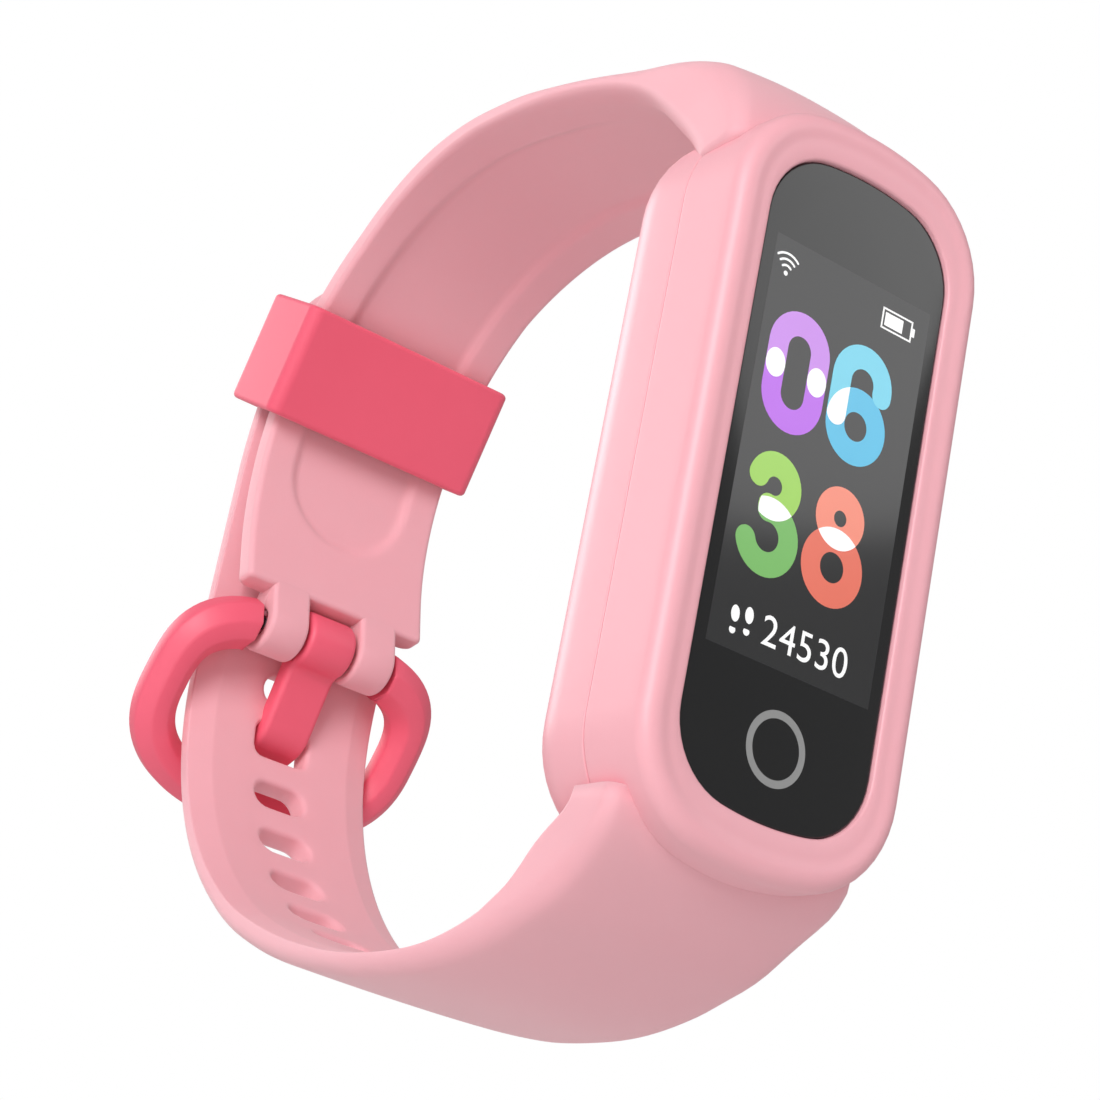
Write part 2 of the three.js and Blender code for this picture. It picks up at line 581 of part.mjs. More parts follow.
// One adjustment hole: a round-cornered slot through the strap at a distance along its inner face.
function adjustmentHole(path, distance) {
  const u = distance / path.getLength();
  const point = path.getPointAt(u);
  const along = path.getTangentAt(u);
  const halfWidth = HOLE_WIDTH / 2;
  const halfHeight = HOLE_HEIGHT / 2;
  const flat = halfWidth - halfHeight;
  const shape = new THREE.Shape();
  shape.absarc(flat, 0, halfHeight, -Math.PI / 2, Math.PI / 2, false);
  shape.absarc(-flat, 0, halfHeight, Math.PI / 2, 1.5 * Math.PI, false);
  const depth = 4 * STRAP_THICKNESS;
  const geometry = new THREE.ExtrudeGeometry(shape, { depth, bevelEnabled: false, curveSegments: 5 });
  geometry.translate(0, 0, -depth / 2);
  const run = new THREE.Vector3(0, along.x, along.y);
  const across = new THREE.Vector3(1, 0, 0);
  const turn = new THREE.Matrix4().makeBasis(across, run, across.clone().cross(run));
  turn.setPosition(0, point.x, point.y);
  return toSolid(geometry.applyMatrix4(turn));
}

// Rounds the free end of the lower strap, seen along its thickness.
function tipCorners() {
  const half = STRAP_CLASP_WIDTH / 2;
  const shape = new THREE.Shape();
  shape.moveTo(half, 0);
  shape.lineTo(half + 2, 0);
  shape.lineTo(half + 2, TAIL_TIP_ROUND + 3);
  shape.lineTo(-half - 2, TAIL_TIP_ROUND + 3);
  shape.lineTo(-half - 2, 0);
  shape.lineTo(-half, 0);
  shape.absellipse(0, 0, half, TAIL_TIP_ROUND, Math.PI, 0, true, 0);
  const depth = 6 * STRAP_THICKNESS;
  const geometry = new THREE.ExtrudeGeometry(shape, { depth, bevelEnabled: false, curveSegments: 12 });
  geometry.translate(0, 0, -depth / 2);
  const angle = rad(TAIL_TIP_ANGLE) - TAIL_TIP_ROUND / TAIL_RADIUS;
  const run = new THREE.Vector3(0, -Math.sin(angle), Math.cos(angle));
  const across = new THREE.Vector3(1, 0, 0);
  const turn = new THREE.Matrix4().makeBasis(across, run, across.clone().cross(run));
  turn.setPosition(0, TAIL_RADIUS * Math.cos(angle), CLASP_Z + TAIL_RADIUS * Math.sin(angle));
  return toSolid(geometry.applyMatrix4(turn));
}

function lowerStrap() {
  const path = lowerPath();
  let strap = acrossBand(strip(path, 60, -1, thicknessAt), -STRAP_ROOT_WIDTH / 2, STRAP_ROOT_WIDTH / 2);
  const start = path.getPointAt(0);
  const along = path.getTangentAt(0);
  const bottom = start.clone().add(new THREE.Vector2(along.y, -along.x).multiplyScalar(thicknessAt(0)));
  const edge = POD_LENGTH / 2 + CUP_WALL;
  strap = strap.add(cup(-1, edge, [mirrored(bottom), mirrored(start)],
    new THREE.Vector2(CUP_FRONT_Y + 0.6, -bottom.y - 0.6),
    new THREE.Vector2(start.x - 3, -start.y - 1)));
  strap = strap.intersect(taper());

  const level = tongueHoleDistance();
  const first = level - HOLE_PITCH * HOLES_BELOW_TONGUE;
  for (let i = 0; i <= HOLES_BELOW_TONGUE + HOLES_ABOVE_TONGUE; i += 1) {
    if (i !== HOLES_BELOW_TONGUE) {
      strap = strap.subtract(adjustmentHole(path, first + HOLE_PITCH * i));
    }
  }
  strap = strap.subtract(tongueSlot()).subtract(tipCorners());
  return strap.subtract(podSpace(LAYER_GAP)).subtract(rail(-1, RAIL_GAP));
}

function mirrored(point) {
  return new THREE.Vector2(point.x, -point.y);
}

// Distance along the lower strap's inner face to the hole that the tongue is in.
function tongueHoleDistance() {
  const toHeel = ARCH_RADIUS * rad(ARCH_ANGLE) + SOLE_RADIUS * rad(SOLE_ANGLE);
  const below = heelCentre.y - leaning(TONGUE_LEAN, TONGUE_ELBOW, 0).y;
  return toHeel + HEEL_RADIUS * (rad(HEEL_ANGLE) - Math.asin(below / HEEL_RADIUS));
}

// ---------------------------------------------------------------- the buckle

// A point given by its distance down a line that leans out from the bar, and off that line.
function leaning(lean, down, off) {
  const a = rad(lean);
  return new THREE.Vector2(
    BAR_Y + down * Math.sin(a) + off * Math.cos(a),
    BAR_Z - down * Math.cos(a) + off * Math.sin(a),
  );
}

// The tongue's bar: an inner face, an elbow inside the strap's hole, and a hooked tip.
function tongueBar(clearance) {
  const inner = TONGUE_INNER_OFF - clearance;
  const outer = TONGUE_INNER_OFF + TONGUE_THICKNESS + clearance;
  const a = leaning(TONGUE_LEAN, 0, inner);
  const elbow = leaning(TONGUE_LEAN, TONGUE_ELBOW, inner);
  const hook = new THREE.Vector2(Math.sin(rad(TONGUE_HOOK_LEAN)), -Math.cos(rad(TONGUE_HOOK_LEAN)));
  const up = new THREE.Vector2(-hook.y, hook.x);
  const thick = outer - inner;
  const tip = elbow.clone().addScaledVector(hook, TONGUE_HOOK_LENGTH + clearance);
  const tipTop = tip.clone().addScaledVector(up, thick * TONGUE_TIP_SHARE);
  const half = rad(TONGUE_HOOK_LEAN - TONGUE_LEAN) / 2;
  const shorten = thick * Math.tan(half);
  const b = leaning(TONGUE_LEAN, TONGUE_ELBOW - shorten, outer);
  const c = leaning(TONGUE_LEAN, 0, outer);
  return [a, elbow, tip, tipTop, b, c];
}

function buckleTongue() {
  const half = TONGUE_WIDTH / 2;
  const knuckle = roundBar(KNUCKLE_RADIUS - STACK_GAP / 2, -half, half, bar);
  const blade = acrossBand(new THREE.Shape(tongueBar(0)), -half, half);
  return knuckle.add(blade).subtract(roundBar(BAR_RADIUS + STACK_GAP, -half - 1, half + 1, bar));
}

// The hole that the tongue is in, drawn out by the blade that slants through it.
function tongueSlot() {
  const half = TONGUE_WIDTH / 2 + TURN_GAP;
  return acrossBand(new THREE.Shape(tongueBar(TONGUE_SLOT_GAP)), -half, half);
}

// Rounded outline of the ring in its own plane: across the band and down from the bar.
function ringOutline(inset, fullness = RING_FULLNESS) {
  const halfWidth = RING_HALF_WIDTH - inset;
  const halfHeight = RING_REACH - RING_MIDDLE - inset;
  const points = [];
  const count = 40;
  for (let i = 0; i < count; i += 1) {
    const t = 2 * Math.PI * i / count;
    const c = Math.cos(t);
    const s = Math.sin(t);
    const x = halfWidth * Math.sign(c) * Math.abs(c) ** (2 / fullness);
    const z = halfHeight * Math.sign(s) * Math.abs(s) ** (2 / fullness);
    points.push(new THREE.Vector2(x, z - RING_MIDDLE));
  }
  return points;
}

// Ring: an eight-sided section round the outline, open at the top, with an arm end on each side.
function buckleRing() {
  const geometry = new THREE.ExtrudeGeometry(new THREE.Shape(ringOutline(0)), {
    depth: RING_THICKNESS - 2 * RING_CHAMFER,
    bevelThickness: RING_CHAMFER,
    bevelSize: RING_CHAMFER,
    bevelOffset: -RING_CHAMFER,
    bevelSegments: 1,
  });
  geometry.translate(0, 0, RING_CHAMFER - RING_THICKNESS / 2);
  const above = new THREE.BoxGeometry(3 * RING_HALF_WIDTH, RING_REACH, 3 * RING_THICKNESS);
  above.translate(0, RING_TOP + RING_REACH / 2, 0);
  return leanRing(toSolid(geometry).subtract(windowPrism()).subtract(toSolid(above)));
}

// The ring's window, with its rims chamfered like the outside.
function windowPrism() {
  const half = RING_THICKNESS / 2;
  const profile = [
    [-half - 0.01, RING_BAND - RING_CHAMFER],
    [-half + RING_CHAMFER, RING_BAND],
    [half - RING_CHAMFER, RING_BAND],
    [half + 0.01, RING_BAND - RING_CHAMFER],
  ];
  const positions = [];
  for (const [z, inset] of profile) {
    for (const point of ringOutline(inset, WINDOW_FULLNESS)) {
      positions.push(point.x, point.y, z);
    }
  }
  const count = ringOutline(0).length;
  const faces = [];
  for (let level = 0; level < profile.length - 1; level += 1) {
    for (let i = 0; i < count; i += 1) {
      const a = level * count + i;
      const b = level * count + (i + 1) % count;
      faces.push(a, b, b + count, a, b + count, a + count);
    }
  }
  const last = (profile.length - 1) * count;
  for (let i = 1; i < count - 1; i += 1) {
    faces.push(0, i + 1, i);
    faces.push(last, last + i, last + i + 1);
  }
  const geometry = new THREE.BufferGeometry();
  geometry.setAttribute('position', new THREE.Float32BufferAttribute(positions, 3));
  geometry.setIndex(faces);
  return toSolid(geometry);
}

// Leans the flat ring out from the bar, opens its top and bores its arm ends.
function leanRing(flat) {
  const a = rad(RING_LEAN);
  const across = new THREE.Vector3(1, 0, 0);
  const up = new THREE.Vector3(0, -Math.sin(a), Math.cos(a));
  const turn = new THREE.Matrix4().makeBasis(across, up, across.clone().cross(up));
  turn.setPosition(0, BAR_Y, BAR_Z);
  let ring = toSolid(toGeometry(flat).applyMatrix4(turn));
  const x = RING_ARM_START;
  const far = RING_REACH;
  const low = BAR_Z - KNUCKLE_RADIUS - 2 * LAYER_GAP;
  ring = ring.subtract(box(-x, x, BAR_Y - far, BAR_Y + KNUCKLE_RADIUS + 4 * LAYER_GAP, low, BAR_Z + far));
  for (const side of [-1, 1]) {
    const ends = [side * RING_ARM_START, side * (RING_ARM_START + RING_ARM_WIDTH)].sort((a, b) => a - b);
    ring = ring.add(roundBar(KNUCKLE_RADIUS - RING_ARM_SETBACK, ends[0], ends[1], bar));
  }
  const reach = RING_HALF_WIDTH + 1;
  return ring.subtract(roundBar(TIP_RADIUS + TIP_SOCKET_GAP, -reach, reach, bar, 20));
}

// Spring bar: a tube through the knuckles, with a sprung tip at each end.
function buildSpringBar() {
  const half = BAR_HALF_LENGTH;
  const bore = roundBar(BAR_BORE_RADIUS, -half - 1, half + 1, bar, 20);
  add('bar_tube', roundBar(BAR_RADIUS, -half, half, bar, 28).subtract(bore), STEEL());
  add('bar_tip_left', roundBar(TIP_RADIUS, -TIP_REACH, -TIP_ROOT, bar, 20), STEEL());
  add('bar_tip_right', roundBar(TIP_RADIUS, TIP_ROOT, TIP_REACH, bar, 20), STEEL());
  add('bar_spring', coil(TIP_ROOT - TIP_TRAVEL - STACK_GAP), STEEL());
}

// The bar's coil spring, drawn at the length it has with both tips pressed in.
function coil(halfLength) {
  const radius = BAR_BORE_RADIUS - COIL_WIRE_RADIUS - COIL_GAP;
  const start = COIL_WIRE_RADIUS - halfLength;
  const steps = COIL_TURNS * 8;
  const points = [];
  for (let i = 0; i <= steps; i += 1) {
    const t = 2 * Math.PI * COIL_TURNS * i / steps;
    const y = BAR_Y + radius * Math.cos(t);
    const z = BAR_Z + radius * Math.sin(t);
    points.push(new THREE.Vector3(start - 2 * start * i / steps, y, z));
  }
  const section = new THREE.Shape();
  section.absarc(0, 0, COIL_WIRE_RADIUS, 0, 2 * Math.PI, false);
  return toSolid(new THREE.ExtrudeGeometry(section, {
    steps,
    extrudePath: new THREE.CatmullRomCurve3(points),
    curveSegments: 3,
  }));
}

// ---------------------------------------------------------------- the keeper

// Keeper: a flat-sided loop round both straps, square to them where it sits.
function keeper() {
  const halfHeight = KEEPER_HEIGHT / 2;
  const sag = CLASP_RADIUS * (1 - Math.cos(halfHeight / CLASP_RADIUS));
  const near = CLASP_RADIUS - sag - KEEPER_GAP;
  const far = TAIL_RADIUS + STRAP_THICKNESS + KEEPER_GAP;
  const side = STRAP_CLASP_WIDTH / 2 + KEEPER_GAP;
  const corner = KEEPER_CORNER_RADIUS;
  const outer = roundedLoop(side + KEEPER_WALL, near - KEEPER_WALL, far + KEEPER_WALL, corner);
  const inner = roundedLoop(side, near, far, corner / 2);
  const block = (shape, height) => {
    const settings = { depth: height, bevelEnabled: false, curveSegments: 4 };
    const geometry = new THREE.ExtrudeGeometry(shape, settings);
    geometry.translate(0, 0, -height / 2);
    return toSolid(geometry);
  };
  const loop = block(outer, KEEPER_HEIGHT).subtract(block(inner, KEEPER_HEIGHT + 2));
  const turn = new THREE.Matrix4().makeRotationX(rad(KEEPER_ANGLE));
  turn.setPosition(0, clasp.x, clasp.y);
  return toSolid(toGeometry(loop).applyMatrix4(turn));
}

// A rectangle in (x, distance from the clasp's centre) with rounded corners.
function roundedLoop(halfWidth, near, far, radius) {
  const shape = new THREE.Shape();
  shape.absarc(halfWidth - radius, near + radius, radius, -Math.PI / 2, 0, false);
  shape.absarc(halfWidth - radius, far - radius, radius, 0, Math.PI / 2, false);
  shape.absarc(-halfWidth + radius, far - radius, radius, Math.PI / 2, Math.PI, false);
  shape.absarc(-halfWidth + radius, near + radius, radius, Math.PI, 1.5 * Math.PI, false);
  return shape;
}

buildPod();
buildMotor();
add('upper_strap', upperStrap(), PINK_SILICONE());
add('lower_strap', lowerStrap(), PINK_SILICONE());
add('buckle_ring', buckleRing(), CORAL_PLASTIC());
add('buckle_tongue', buckleTongue(), CORAL_PLASTIC());
buildSpringBar();
add('keeper', keeper(), CORAL_PLASTIC());

export default group;
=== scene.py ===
# Fitness tracker band, fastened in a loop: a smooth-bodied version of every visible part, made
# around the CAD frame. Shapes are worked out in millimetres in the CAD frame: +X across the band,
# +Y from the display through the wrist to the buckle, +Z up the display.
import math
import bisect
import bmesh
import bpy
from mathutils import Matrix, Vector


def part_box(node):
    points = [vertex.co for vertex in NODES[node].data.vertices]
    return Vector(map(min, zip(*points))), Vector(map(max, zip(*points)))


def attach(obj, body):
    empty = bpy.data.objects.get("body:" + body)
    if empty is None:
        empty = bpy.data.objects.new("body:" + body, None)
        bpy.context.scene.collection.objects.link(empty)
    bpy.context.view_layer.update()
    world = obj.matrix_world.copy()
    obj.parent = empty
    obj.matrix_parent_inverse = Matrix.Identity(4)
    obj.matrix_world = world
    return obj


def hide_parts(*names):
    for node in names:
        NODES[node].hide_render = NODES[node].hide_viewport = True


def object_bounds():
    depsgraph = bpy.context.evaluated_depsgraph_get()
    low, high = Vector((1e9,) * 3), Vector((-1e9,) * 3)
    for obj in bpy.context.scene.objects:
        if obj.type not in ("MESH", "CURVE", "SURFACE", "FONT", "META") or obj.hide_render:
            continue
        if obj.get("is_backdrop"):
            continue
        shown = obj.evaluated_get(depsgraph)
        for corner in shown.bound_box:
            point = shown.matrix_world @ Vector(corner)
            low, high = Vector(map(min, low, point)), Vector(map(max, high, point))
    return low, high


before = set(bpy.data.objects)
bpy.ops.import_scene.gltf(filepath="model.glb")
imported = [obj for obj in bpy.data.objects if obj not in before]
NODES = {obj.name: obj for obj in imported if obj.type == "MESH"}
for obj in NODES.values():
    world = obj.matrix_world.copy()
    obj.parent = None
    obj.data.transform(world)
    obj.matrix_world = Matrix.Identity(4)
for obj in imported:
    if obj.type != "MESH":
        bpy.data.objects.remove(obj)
cad_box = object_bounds()
MM = 0.001
WELD = 1e-5


def box_mm(node):
    low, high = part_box(node)
    return low / MM, high / MM


# ---------------------------------------------------------------- camera, light and floor

CAMERA_AT = (-0.0896, -0.1336, -0.05325)
CAMERA_RIGHT = (0.7691, -0.6120, 0.1841)
CAMERA_UP = (-0.3412, -0.1497, 0.9280)
CAMERA_FORWARD = (0.5404, 0.7765, 0.3240)


def make_camera():
    """A portrait-length lens that looks up a little from the front left."""
    data = bpy.data.cameras.new("studio_camera")
    data.sensor_width = 36
    data.lens = 98.2
    data.clip_start, data.clip_end = 0.005, 20
    camera = bpy.data.objects.new("studio_camera", data)
    turn = Matrix((CAMERA_RIGHT, CAMERA_UP, [-c for c in CAMERA_FORWARD])).transposed().to_4x4()
    camera.matrix_world = Matrix.Translation(CAMERA_AT) @ turn
    bpy.context.scene.collection.objects.link(camera)
    bpy.context.scene.camera = camera


def soft_light(name, at, size, power, target=(0, -0.004, 0)):
    data = bpy.data.lights.new(name, "AREA")
    data.shape = "DISK"
    data.size = size
    data.energy = power
    light = bpy.data.objects.new(name, data)
    light.location = at
    light.rotation_euler = (Vector(target) - Vector(at)).to_track_quat("-Z", "Y").to_euler()
    bpy.context.scene.collection.objects.link(light)


# ---------------------------------------------------------------- materials

GRAIN_DEPTH_MM = 0.02

def linear(hexa, alpha=1.0):
    """An sRGB hex colour as the linear RGBA that a shader takes."""
    out = []
    for i in (1, 3, 5):
        c = int(hexa[i:i + 2], 16) / 255
        out.append(c / 12.92 if c <= 0.04045 else ((c + 0.055) / 1.055) ** 2.4)
    return (*out, alpha)


def add_node(tree, kind, inputs=None, **settings):
    """Adds a node, sets its properties, and sets or links its inputs."""
    made = tree.nodes.new(kind)
    for key, value in settings.items():
        setattr(made, key, value)
    for key, value in (inputs or {}).items():
        if isinstance(value, bpy.types.NodeSocket):
            tree.links.new(value, made.inputs[key])
        else:
            made.inputs[key].default_value = value
    return made


def moulded(name, light, dark, roughness, mottle_mm, grain_mm, grain, rough_swing=0.06, **shader):
    """A moulded surface: two close shades in soft patches, uneven gloss and a fine tool texture.

    Real tool grain is 0.02 to 0.04 mm across, too fine to show, so grain_mm is drawn coarser."""
    material = bpy.data.materials.new(name)
    material.use_nodes = True
    tree = material.node_tree
    tree.nodes.clear()
    place = add_node(tree, "ShaderNodeTexCoord").outputs["Object"]
    mottle = add_node(tree, "ShaderNodeTexNoise", {
        "Vector": place, "Scale": 1 / (mottle_mm * MM), "Detail": 3.0, "Roughness": 0.55})
    # a colour Mix keeps its colours in sockets 6 and 7, behind the numbers
    shade = add_node(tree, "ShaderNodeMix", {
        0: mottle.outputs["Fac"], 6: linear(dark), 7: linear(light)}, data_type="RGBA")
    gloss = add_node(tree, "ShaderNodeMapRange", {
        "Value": mottle.outputs["Fac"],
        "To Min": roughness - rough_swing, "To Max": roughness + rough_swing})
    texture = add_node(tree, "ShaderNodeTexNoise", {
        "Vector": place, "Scale": 1 / (grain_mm * MM), "Detail": 4.0, "Roughness": 0.6})
    bump = add_node(tree, "ShaderNodeBump", {
        "Height": texture.outputs["Fac"], "Strength": grain, "Distance": GRAIN_DEPTH_MM * MM})
    body = add_node(tree, "ShaderNodeBsdfPrincipled", {
        "Base Color": shade.outputs[2], "Roughness": gloss.outputs["Result"],
        "Normal": bump.outputs["Normal"]})
    for key, value in shader.items():
        body.inputs[key.replace("_", " ")].default_value = value
    add_node(tree, "ShaderNodeOutputMaterial", {"Surface": body.outputs["BSDF"]})
    return material


# Liquid silicone rubber, moulded in a fine-blasted tool: powdery soft sheen, light soaks in a little.
STRAP_SILICONE = moulded("strap_silicone_moulded", "#F3B4BD", "#F0ADB7", 0.62, 9, 0.12, 0.25,
                         Sheen_Weight=0.25, Sheen_Roughness=0.5, IOR=1.41,
                         Subsurface_Weight=0.12, Subsurface_Scale=0.0012,
                         Subsurface_Radius=(1.0, 0.7, 0.7))
# Polycarbonate case, moulded and clear-soft-coated: smooth satin with a broad highlight.
CASE_POLYCARBONATE = moulded("case_polycarbonate_satin", "#F4B1BB", "#F1ACB6", 0.46, 12, 0.08, 0.10,
                             IOR=1.53, Coat_Weight=0.15, Coat_Roughness=0.35,
                             Subsurface_Weight=0.08, Subsurface_Scale=0.0008,
                             Subsurface_Radius=(1.0, 0.7, 0.7))
# Glass-filled nylon buckle parts, coral, moulded: satin with a faint orange-peel.
BUCKLE_NYLON = moulded("buckle_nylon_moulded", "#F4647C", "#F05D77", 0.46, 6, 0.10, 0.14, IOR=1.53)
# Coral silicone keeper: like the buckle's colour, a little softer.
KEEPER_SILICONE = moulded("keeper_silicone_moulded", "#F3627B", "#EF5B75", 0.52, 7, 0.10, 0.18,
                          IOR=1.41, Sheen_Weight=0.2, Sheen_Roughness=0.5)
# Cover glass over a black mask: near black, polished, with the studio in it.
COVER_GLASS = moulded("cover_glass_black_mask", "#161617", "#131314", 0.09, 20, 0.5, 0.01,
                      rough_swing=0.02, IOR=1.52)
# The part of the glass with the lit panel behind it: its black is a touch greyer.
LIT_GLASS = moulded("display_glass_lit_black", "#303031", "#2C2C2D", 0.09, 20, 0.5, 0.01,
                    rough_swing=0.02, IOR=1.52)
# Moulded black epoxy and polycarbonate inside the case.
BLACK_MOULDED = moulded("black_epoxy_moulded", "#1E1E20", "#18181A", 0.6, 4, 0.08, 0.3, IOR=1.5)
# Glass-epoxy circuit board under green solder mask.
BOARD_LAMINATE = moulded("circuit_board_solder_mask", "#1F6A42", "#195A37", 0.38, 2, 0.15, 0.3, IOR=1.5)
# Laminated foil of a pouch cell: dull silver with fine wrinkles.
POUCH_FOIL = moulded("battery_foil_pressed", "#C3C6CA", "#B4B8BD", 0.35, 3, 0.6, 0.6, Metallic=0.85)
# Stainless steel, turned and tumbled.
STEEL_TURNED = moulded("stainless_steel_turned", "#C9CCD0", "#BDC1C6", 0.26, 1.5, 0.06, 0.25, Metallic=1.0)
# Gold plate over copper: smooth and warm.
GOLD_PLATE = moulded("gold_plate_polished", "#E3BE6A", "#D9B25C", 0.2, 1.5, 0.05, 0.1, Metallic=1.0)
# Foam tape and gasket rubber: dead black.
SEAL_RUBBER = moulded("seal_foam_die_cut", "#171718", "#101011", 0.85, 1.5, 0.05, 0.5, IOR=1.5)
# Dark infrared-clear window over the pulse sensor.
SENSOR_GLASS = moulded("sensor_window_moulded_dark", "#0E1112", "#0B0D0E", 0.07, 5, 0.5, 0.01,
                       rough_swing=0.02, IOR=1.55)


def lit(name, hexa, glow=0.14):
    """One colour of the display: mostly its own light, with the glass's gloss over it. On the printed touch
    ring, which is no lamp, the glow is painted light.
    """
    shade = "#" + "".join(f"{int(int(hexa[i:i + 2], 16) * 0.97):02X}" for i in (1, 3, 5))
    material = moulded(name, hexa, shade, 0.16, 5, 0.5, 0.01, rough_swing=0.03, IOR=1.52)
    body = next(n for n in material.node_tree.nodes if n.type == "BSDF_PRINCIPLED")
    body.inputs["Emission Color"].default_value = linear(hexa)
    body.inputs["Emission Strength"].default_value = glow
    return material


LIT = {key: lit("lit_" + key, hexa) for key, hexa in {
    "violet_light": "#C98DE8", "violet": "#BB6BE8",
    "sky_light": "#79D2EA", "sky": "#5ABEE4",
    "leaf_light": "#A0D35F", "leaf": "#78B965",
    "coral_light": "#F5917C", "coral": "#E6735F",
    "white": "#FFFFFF",
}.items()}
# The grey ink ring round the touch key is printed, not lit: the small glow it is given is painted light.
KEY_RING_INK_PAINTED_GLOW = lit("touch_ring_grey_ink_painted_glow", "#8C8C8C", 0.15)


# ---------------------------------------------------------------- mesh making

def finish_mesh(name, bm, material, body, slot, *replaced):
    """Turns a millimetre mesh into a piece that rides on its body."""
    bmesh.ops.remove_doubles(bm, verts=bm.verts, dist=WELD)
    bmesh.ops.dissolve_degenerate(bm, edges=bm.edges, dist=WELD)
    bmesh.ops.recalc_face_normals(bm, faces=bm.faces)
    bmesh.ops.scale(bm, vec=(MM, MM, MM), verts=bm.verts)
    mesh = bpy.data.meshes.new(name)
    bm.to_mesh(mesh)
    bm.free()
    for face in mesh.polygons:
        face.use_smooth = True
    mesh.materials.append(material)
    piece = bpy.data.objects.new(name, mesh)
    bpy.context.scene.collection.objects.link(piece)
    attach(piece, body)
    if replaced:
        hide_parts(*replaced)
    return piece


def soft_edges(piece, width, segments=3, angle=35):
    """Rounds the piece's hard edges, by a width in millimetres, and evens its shading."""
    bevel = piece.modifiers.new("rounded_edges", "BEVEL")
    bevel.width = width * MM
    bevel.segments = segments
    bevel.limit_method = "ANGLE"
    bevel.angle_limit = math.radians(angle)
    bevel.use_clamp_overlap = False
    even = piece.modifiers.new("even_shading", "WEIGHTED_NORMAL")
    even.keep_sharp = False


def bridge(bm, first, second, closed=True):
    """Quads between two rows of vertices."""
    count = len(first)
    for i in range(count if closed else count - 1):
        j = (i + 1) % count
        corners = [first[i], first[j], second[j], second[i]]
        if len(set(corners)) == 4:
            bm.faces.new(corners)


def loops_to_mesh(bm, loops, closed_profile=False):
    """A skin over rows of points, joined back to the first row if its profile is closed."""
    rows = [[bm.verts.new(p) for p in loop] for loop in loops]
    for first, second in zip(rows, rows[1:]):
        bridge(bm, first, second)
    if closed_profile:
        bridge(bm, rows[-1], rows[0])
    return rows


def fill_between(bm, rims):
    """A flat face with holes, inside the first rim and outside the others."""
    edges = []
    for rim in rims:
        for i, v in enumerate(rim):
            pair = (v, rim[(i + 1) % len(rim)])
            edges.append(bm.edges.get(pair) or bm.edges.new(pair))
    bmesh.ops.triangle_fill(bm, edges=edges, use_beauty=True)


def ring_of(radius, y, x, z, count=48):
    turns = [2 * math.pi * i / count for i in range(count)]
    return [(x + radius * math.cos(t), y, z + radius * math.sin(t)) for t in turns]


def arc(centre, radius, start, end, steps):
    """Points on an arc, in degrees."""
    out = []
    for i in range(steps + 1):
        t = math.radians(start + (end - start) * i / steps)
        out.append((centre[0] + radius * math.cos(t), centre[1] + radius * math.sin(t)))
    return out


# ---------------------------------------------------------------- the pod

case_low, case_high = box_mm("front_frame")
shell_low, shell_high = box_mm("rear_shell")
glass_low, glass_high = box_mm("cover_glass")
POD_WIDTH = case_high.x - case_low.x
POD_LENGTH = case_high.z - case_low.z
POD_FRONT = case_low.y
POD_BACK = shell_high.y
SEAM = (case_high.y + shell_low.y) / 2
GLASS_WIDTH = glass_high.x - glass_low.x
GLASS_LENGTH = glass_high.z - glass_low.z
GLASS_FRONT = glass_low.y
END_RADIUS = 18
CASE_CORNER = 5.9
GLASS_CORNER = 4
CASE_WALL = 1.15
BACK_ROUND = 3.2
ROLL = 0.9
SEAM_LINE = 0.035
GLASS_EDGE = 0.1
# from the seam outwards as (inset, distance): a hair-fine round, then loops that hold the side flat
SEAM_EDGE = ((0.06, 0), (0.02, 0.02), (0, 0.06), (0, 0.12), (0, 0.3))
# the band between the frame's roll and the glass, as (inset, depth) below the frame's front
FRAME_BAND = ((1.02, 0.01), (1.15, 0.03), (1.3, 0.06), (1.45, 0.085), (1.6, 0.097), (1.8, 0.1))
# the lip round the glass and the wall of its pocket, as (inset from the glass, depth)
GLASS_POCKET = ((-0.2, 0.11), (-0.1, 0.15), (-0.05, 0.25), (-0.05, 1.2), (0.5, 1.3), (0.5, 1.9))
FITTING_GAPS = {"sensor_window": 0.12, "charging_contact_left": 0.08, "charging_contact_right": 0.08}
# the rail's sections as (half width, half depth, distance past the pod's end): a neck and a head
RAIL_SECTIONS = ((3.5, 0.3, -0.4), (3.5, 0.3, 0.65), (3.9, 0.65, 0.8), (3.9, 0.65, 1.05), (3.7, 0.45, 1.15))
RAIL_FROM_BACK = 4.4


def pod_loop(width, length, corner_radius, inset, y):
    """The pod's outline at one depth: straight sides, round corners and gently arched ends."""
    half_width = width / 2 - inset
    end = END_RADIUS - inset
    corner = max(corner_radius - inset, 0.4)
    end_z = length / 2 - inset - end
    corner_x = half_width - corner
    corner_z = end_z + math.sqrt((end - corner) ** 2 - corner_x ** 2)
    meet = math.degrees(math.atan2(corner_z - end_z, corner_x))
    quarter = arc((corner_x, corner_z), corner, 0, meet, 10)[:-1]
    quarter += arc((0, end_z), end, meet, 90, 10)[:-1]
    top = quarter + [(0, end_z + end)] + [(-x, z) for x, z in reversed(quarter)]
    side = [(-half_width, corner_z * (1 - 2 * k / 8)) for k in range(1, 8)]
    loop = top + side + [(-x, -z) for x, z in top] + [(-x, -z) for x, z in side]
    return [(x, y, z) for x, z in loop]


def case_loop(inset, y):
    return pod_loop(POD_WIDTH, POD_LENGTH, CASE_CORNER, inset, y)


def glass_loop(inset, y):
    return pod_loop(GLASS_WIDTH, GLASS_LENGTH, GLASS_CORNER, inset, y)


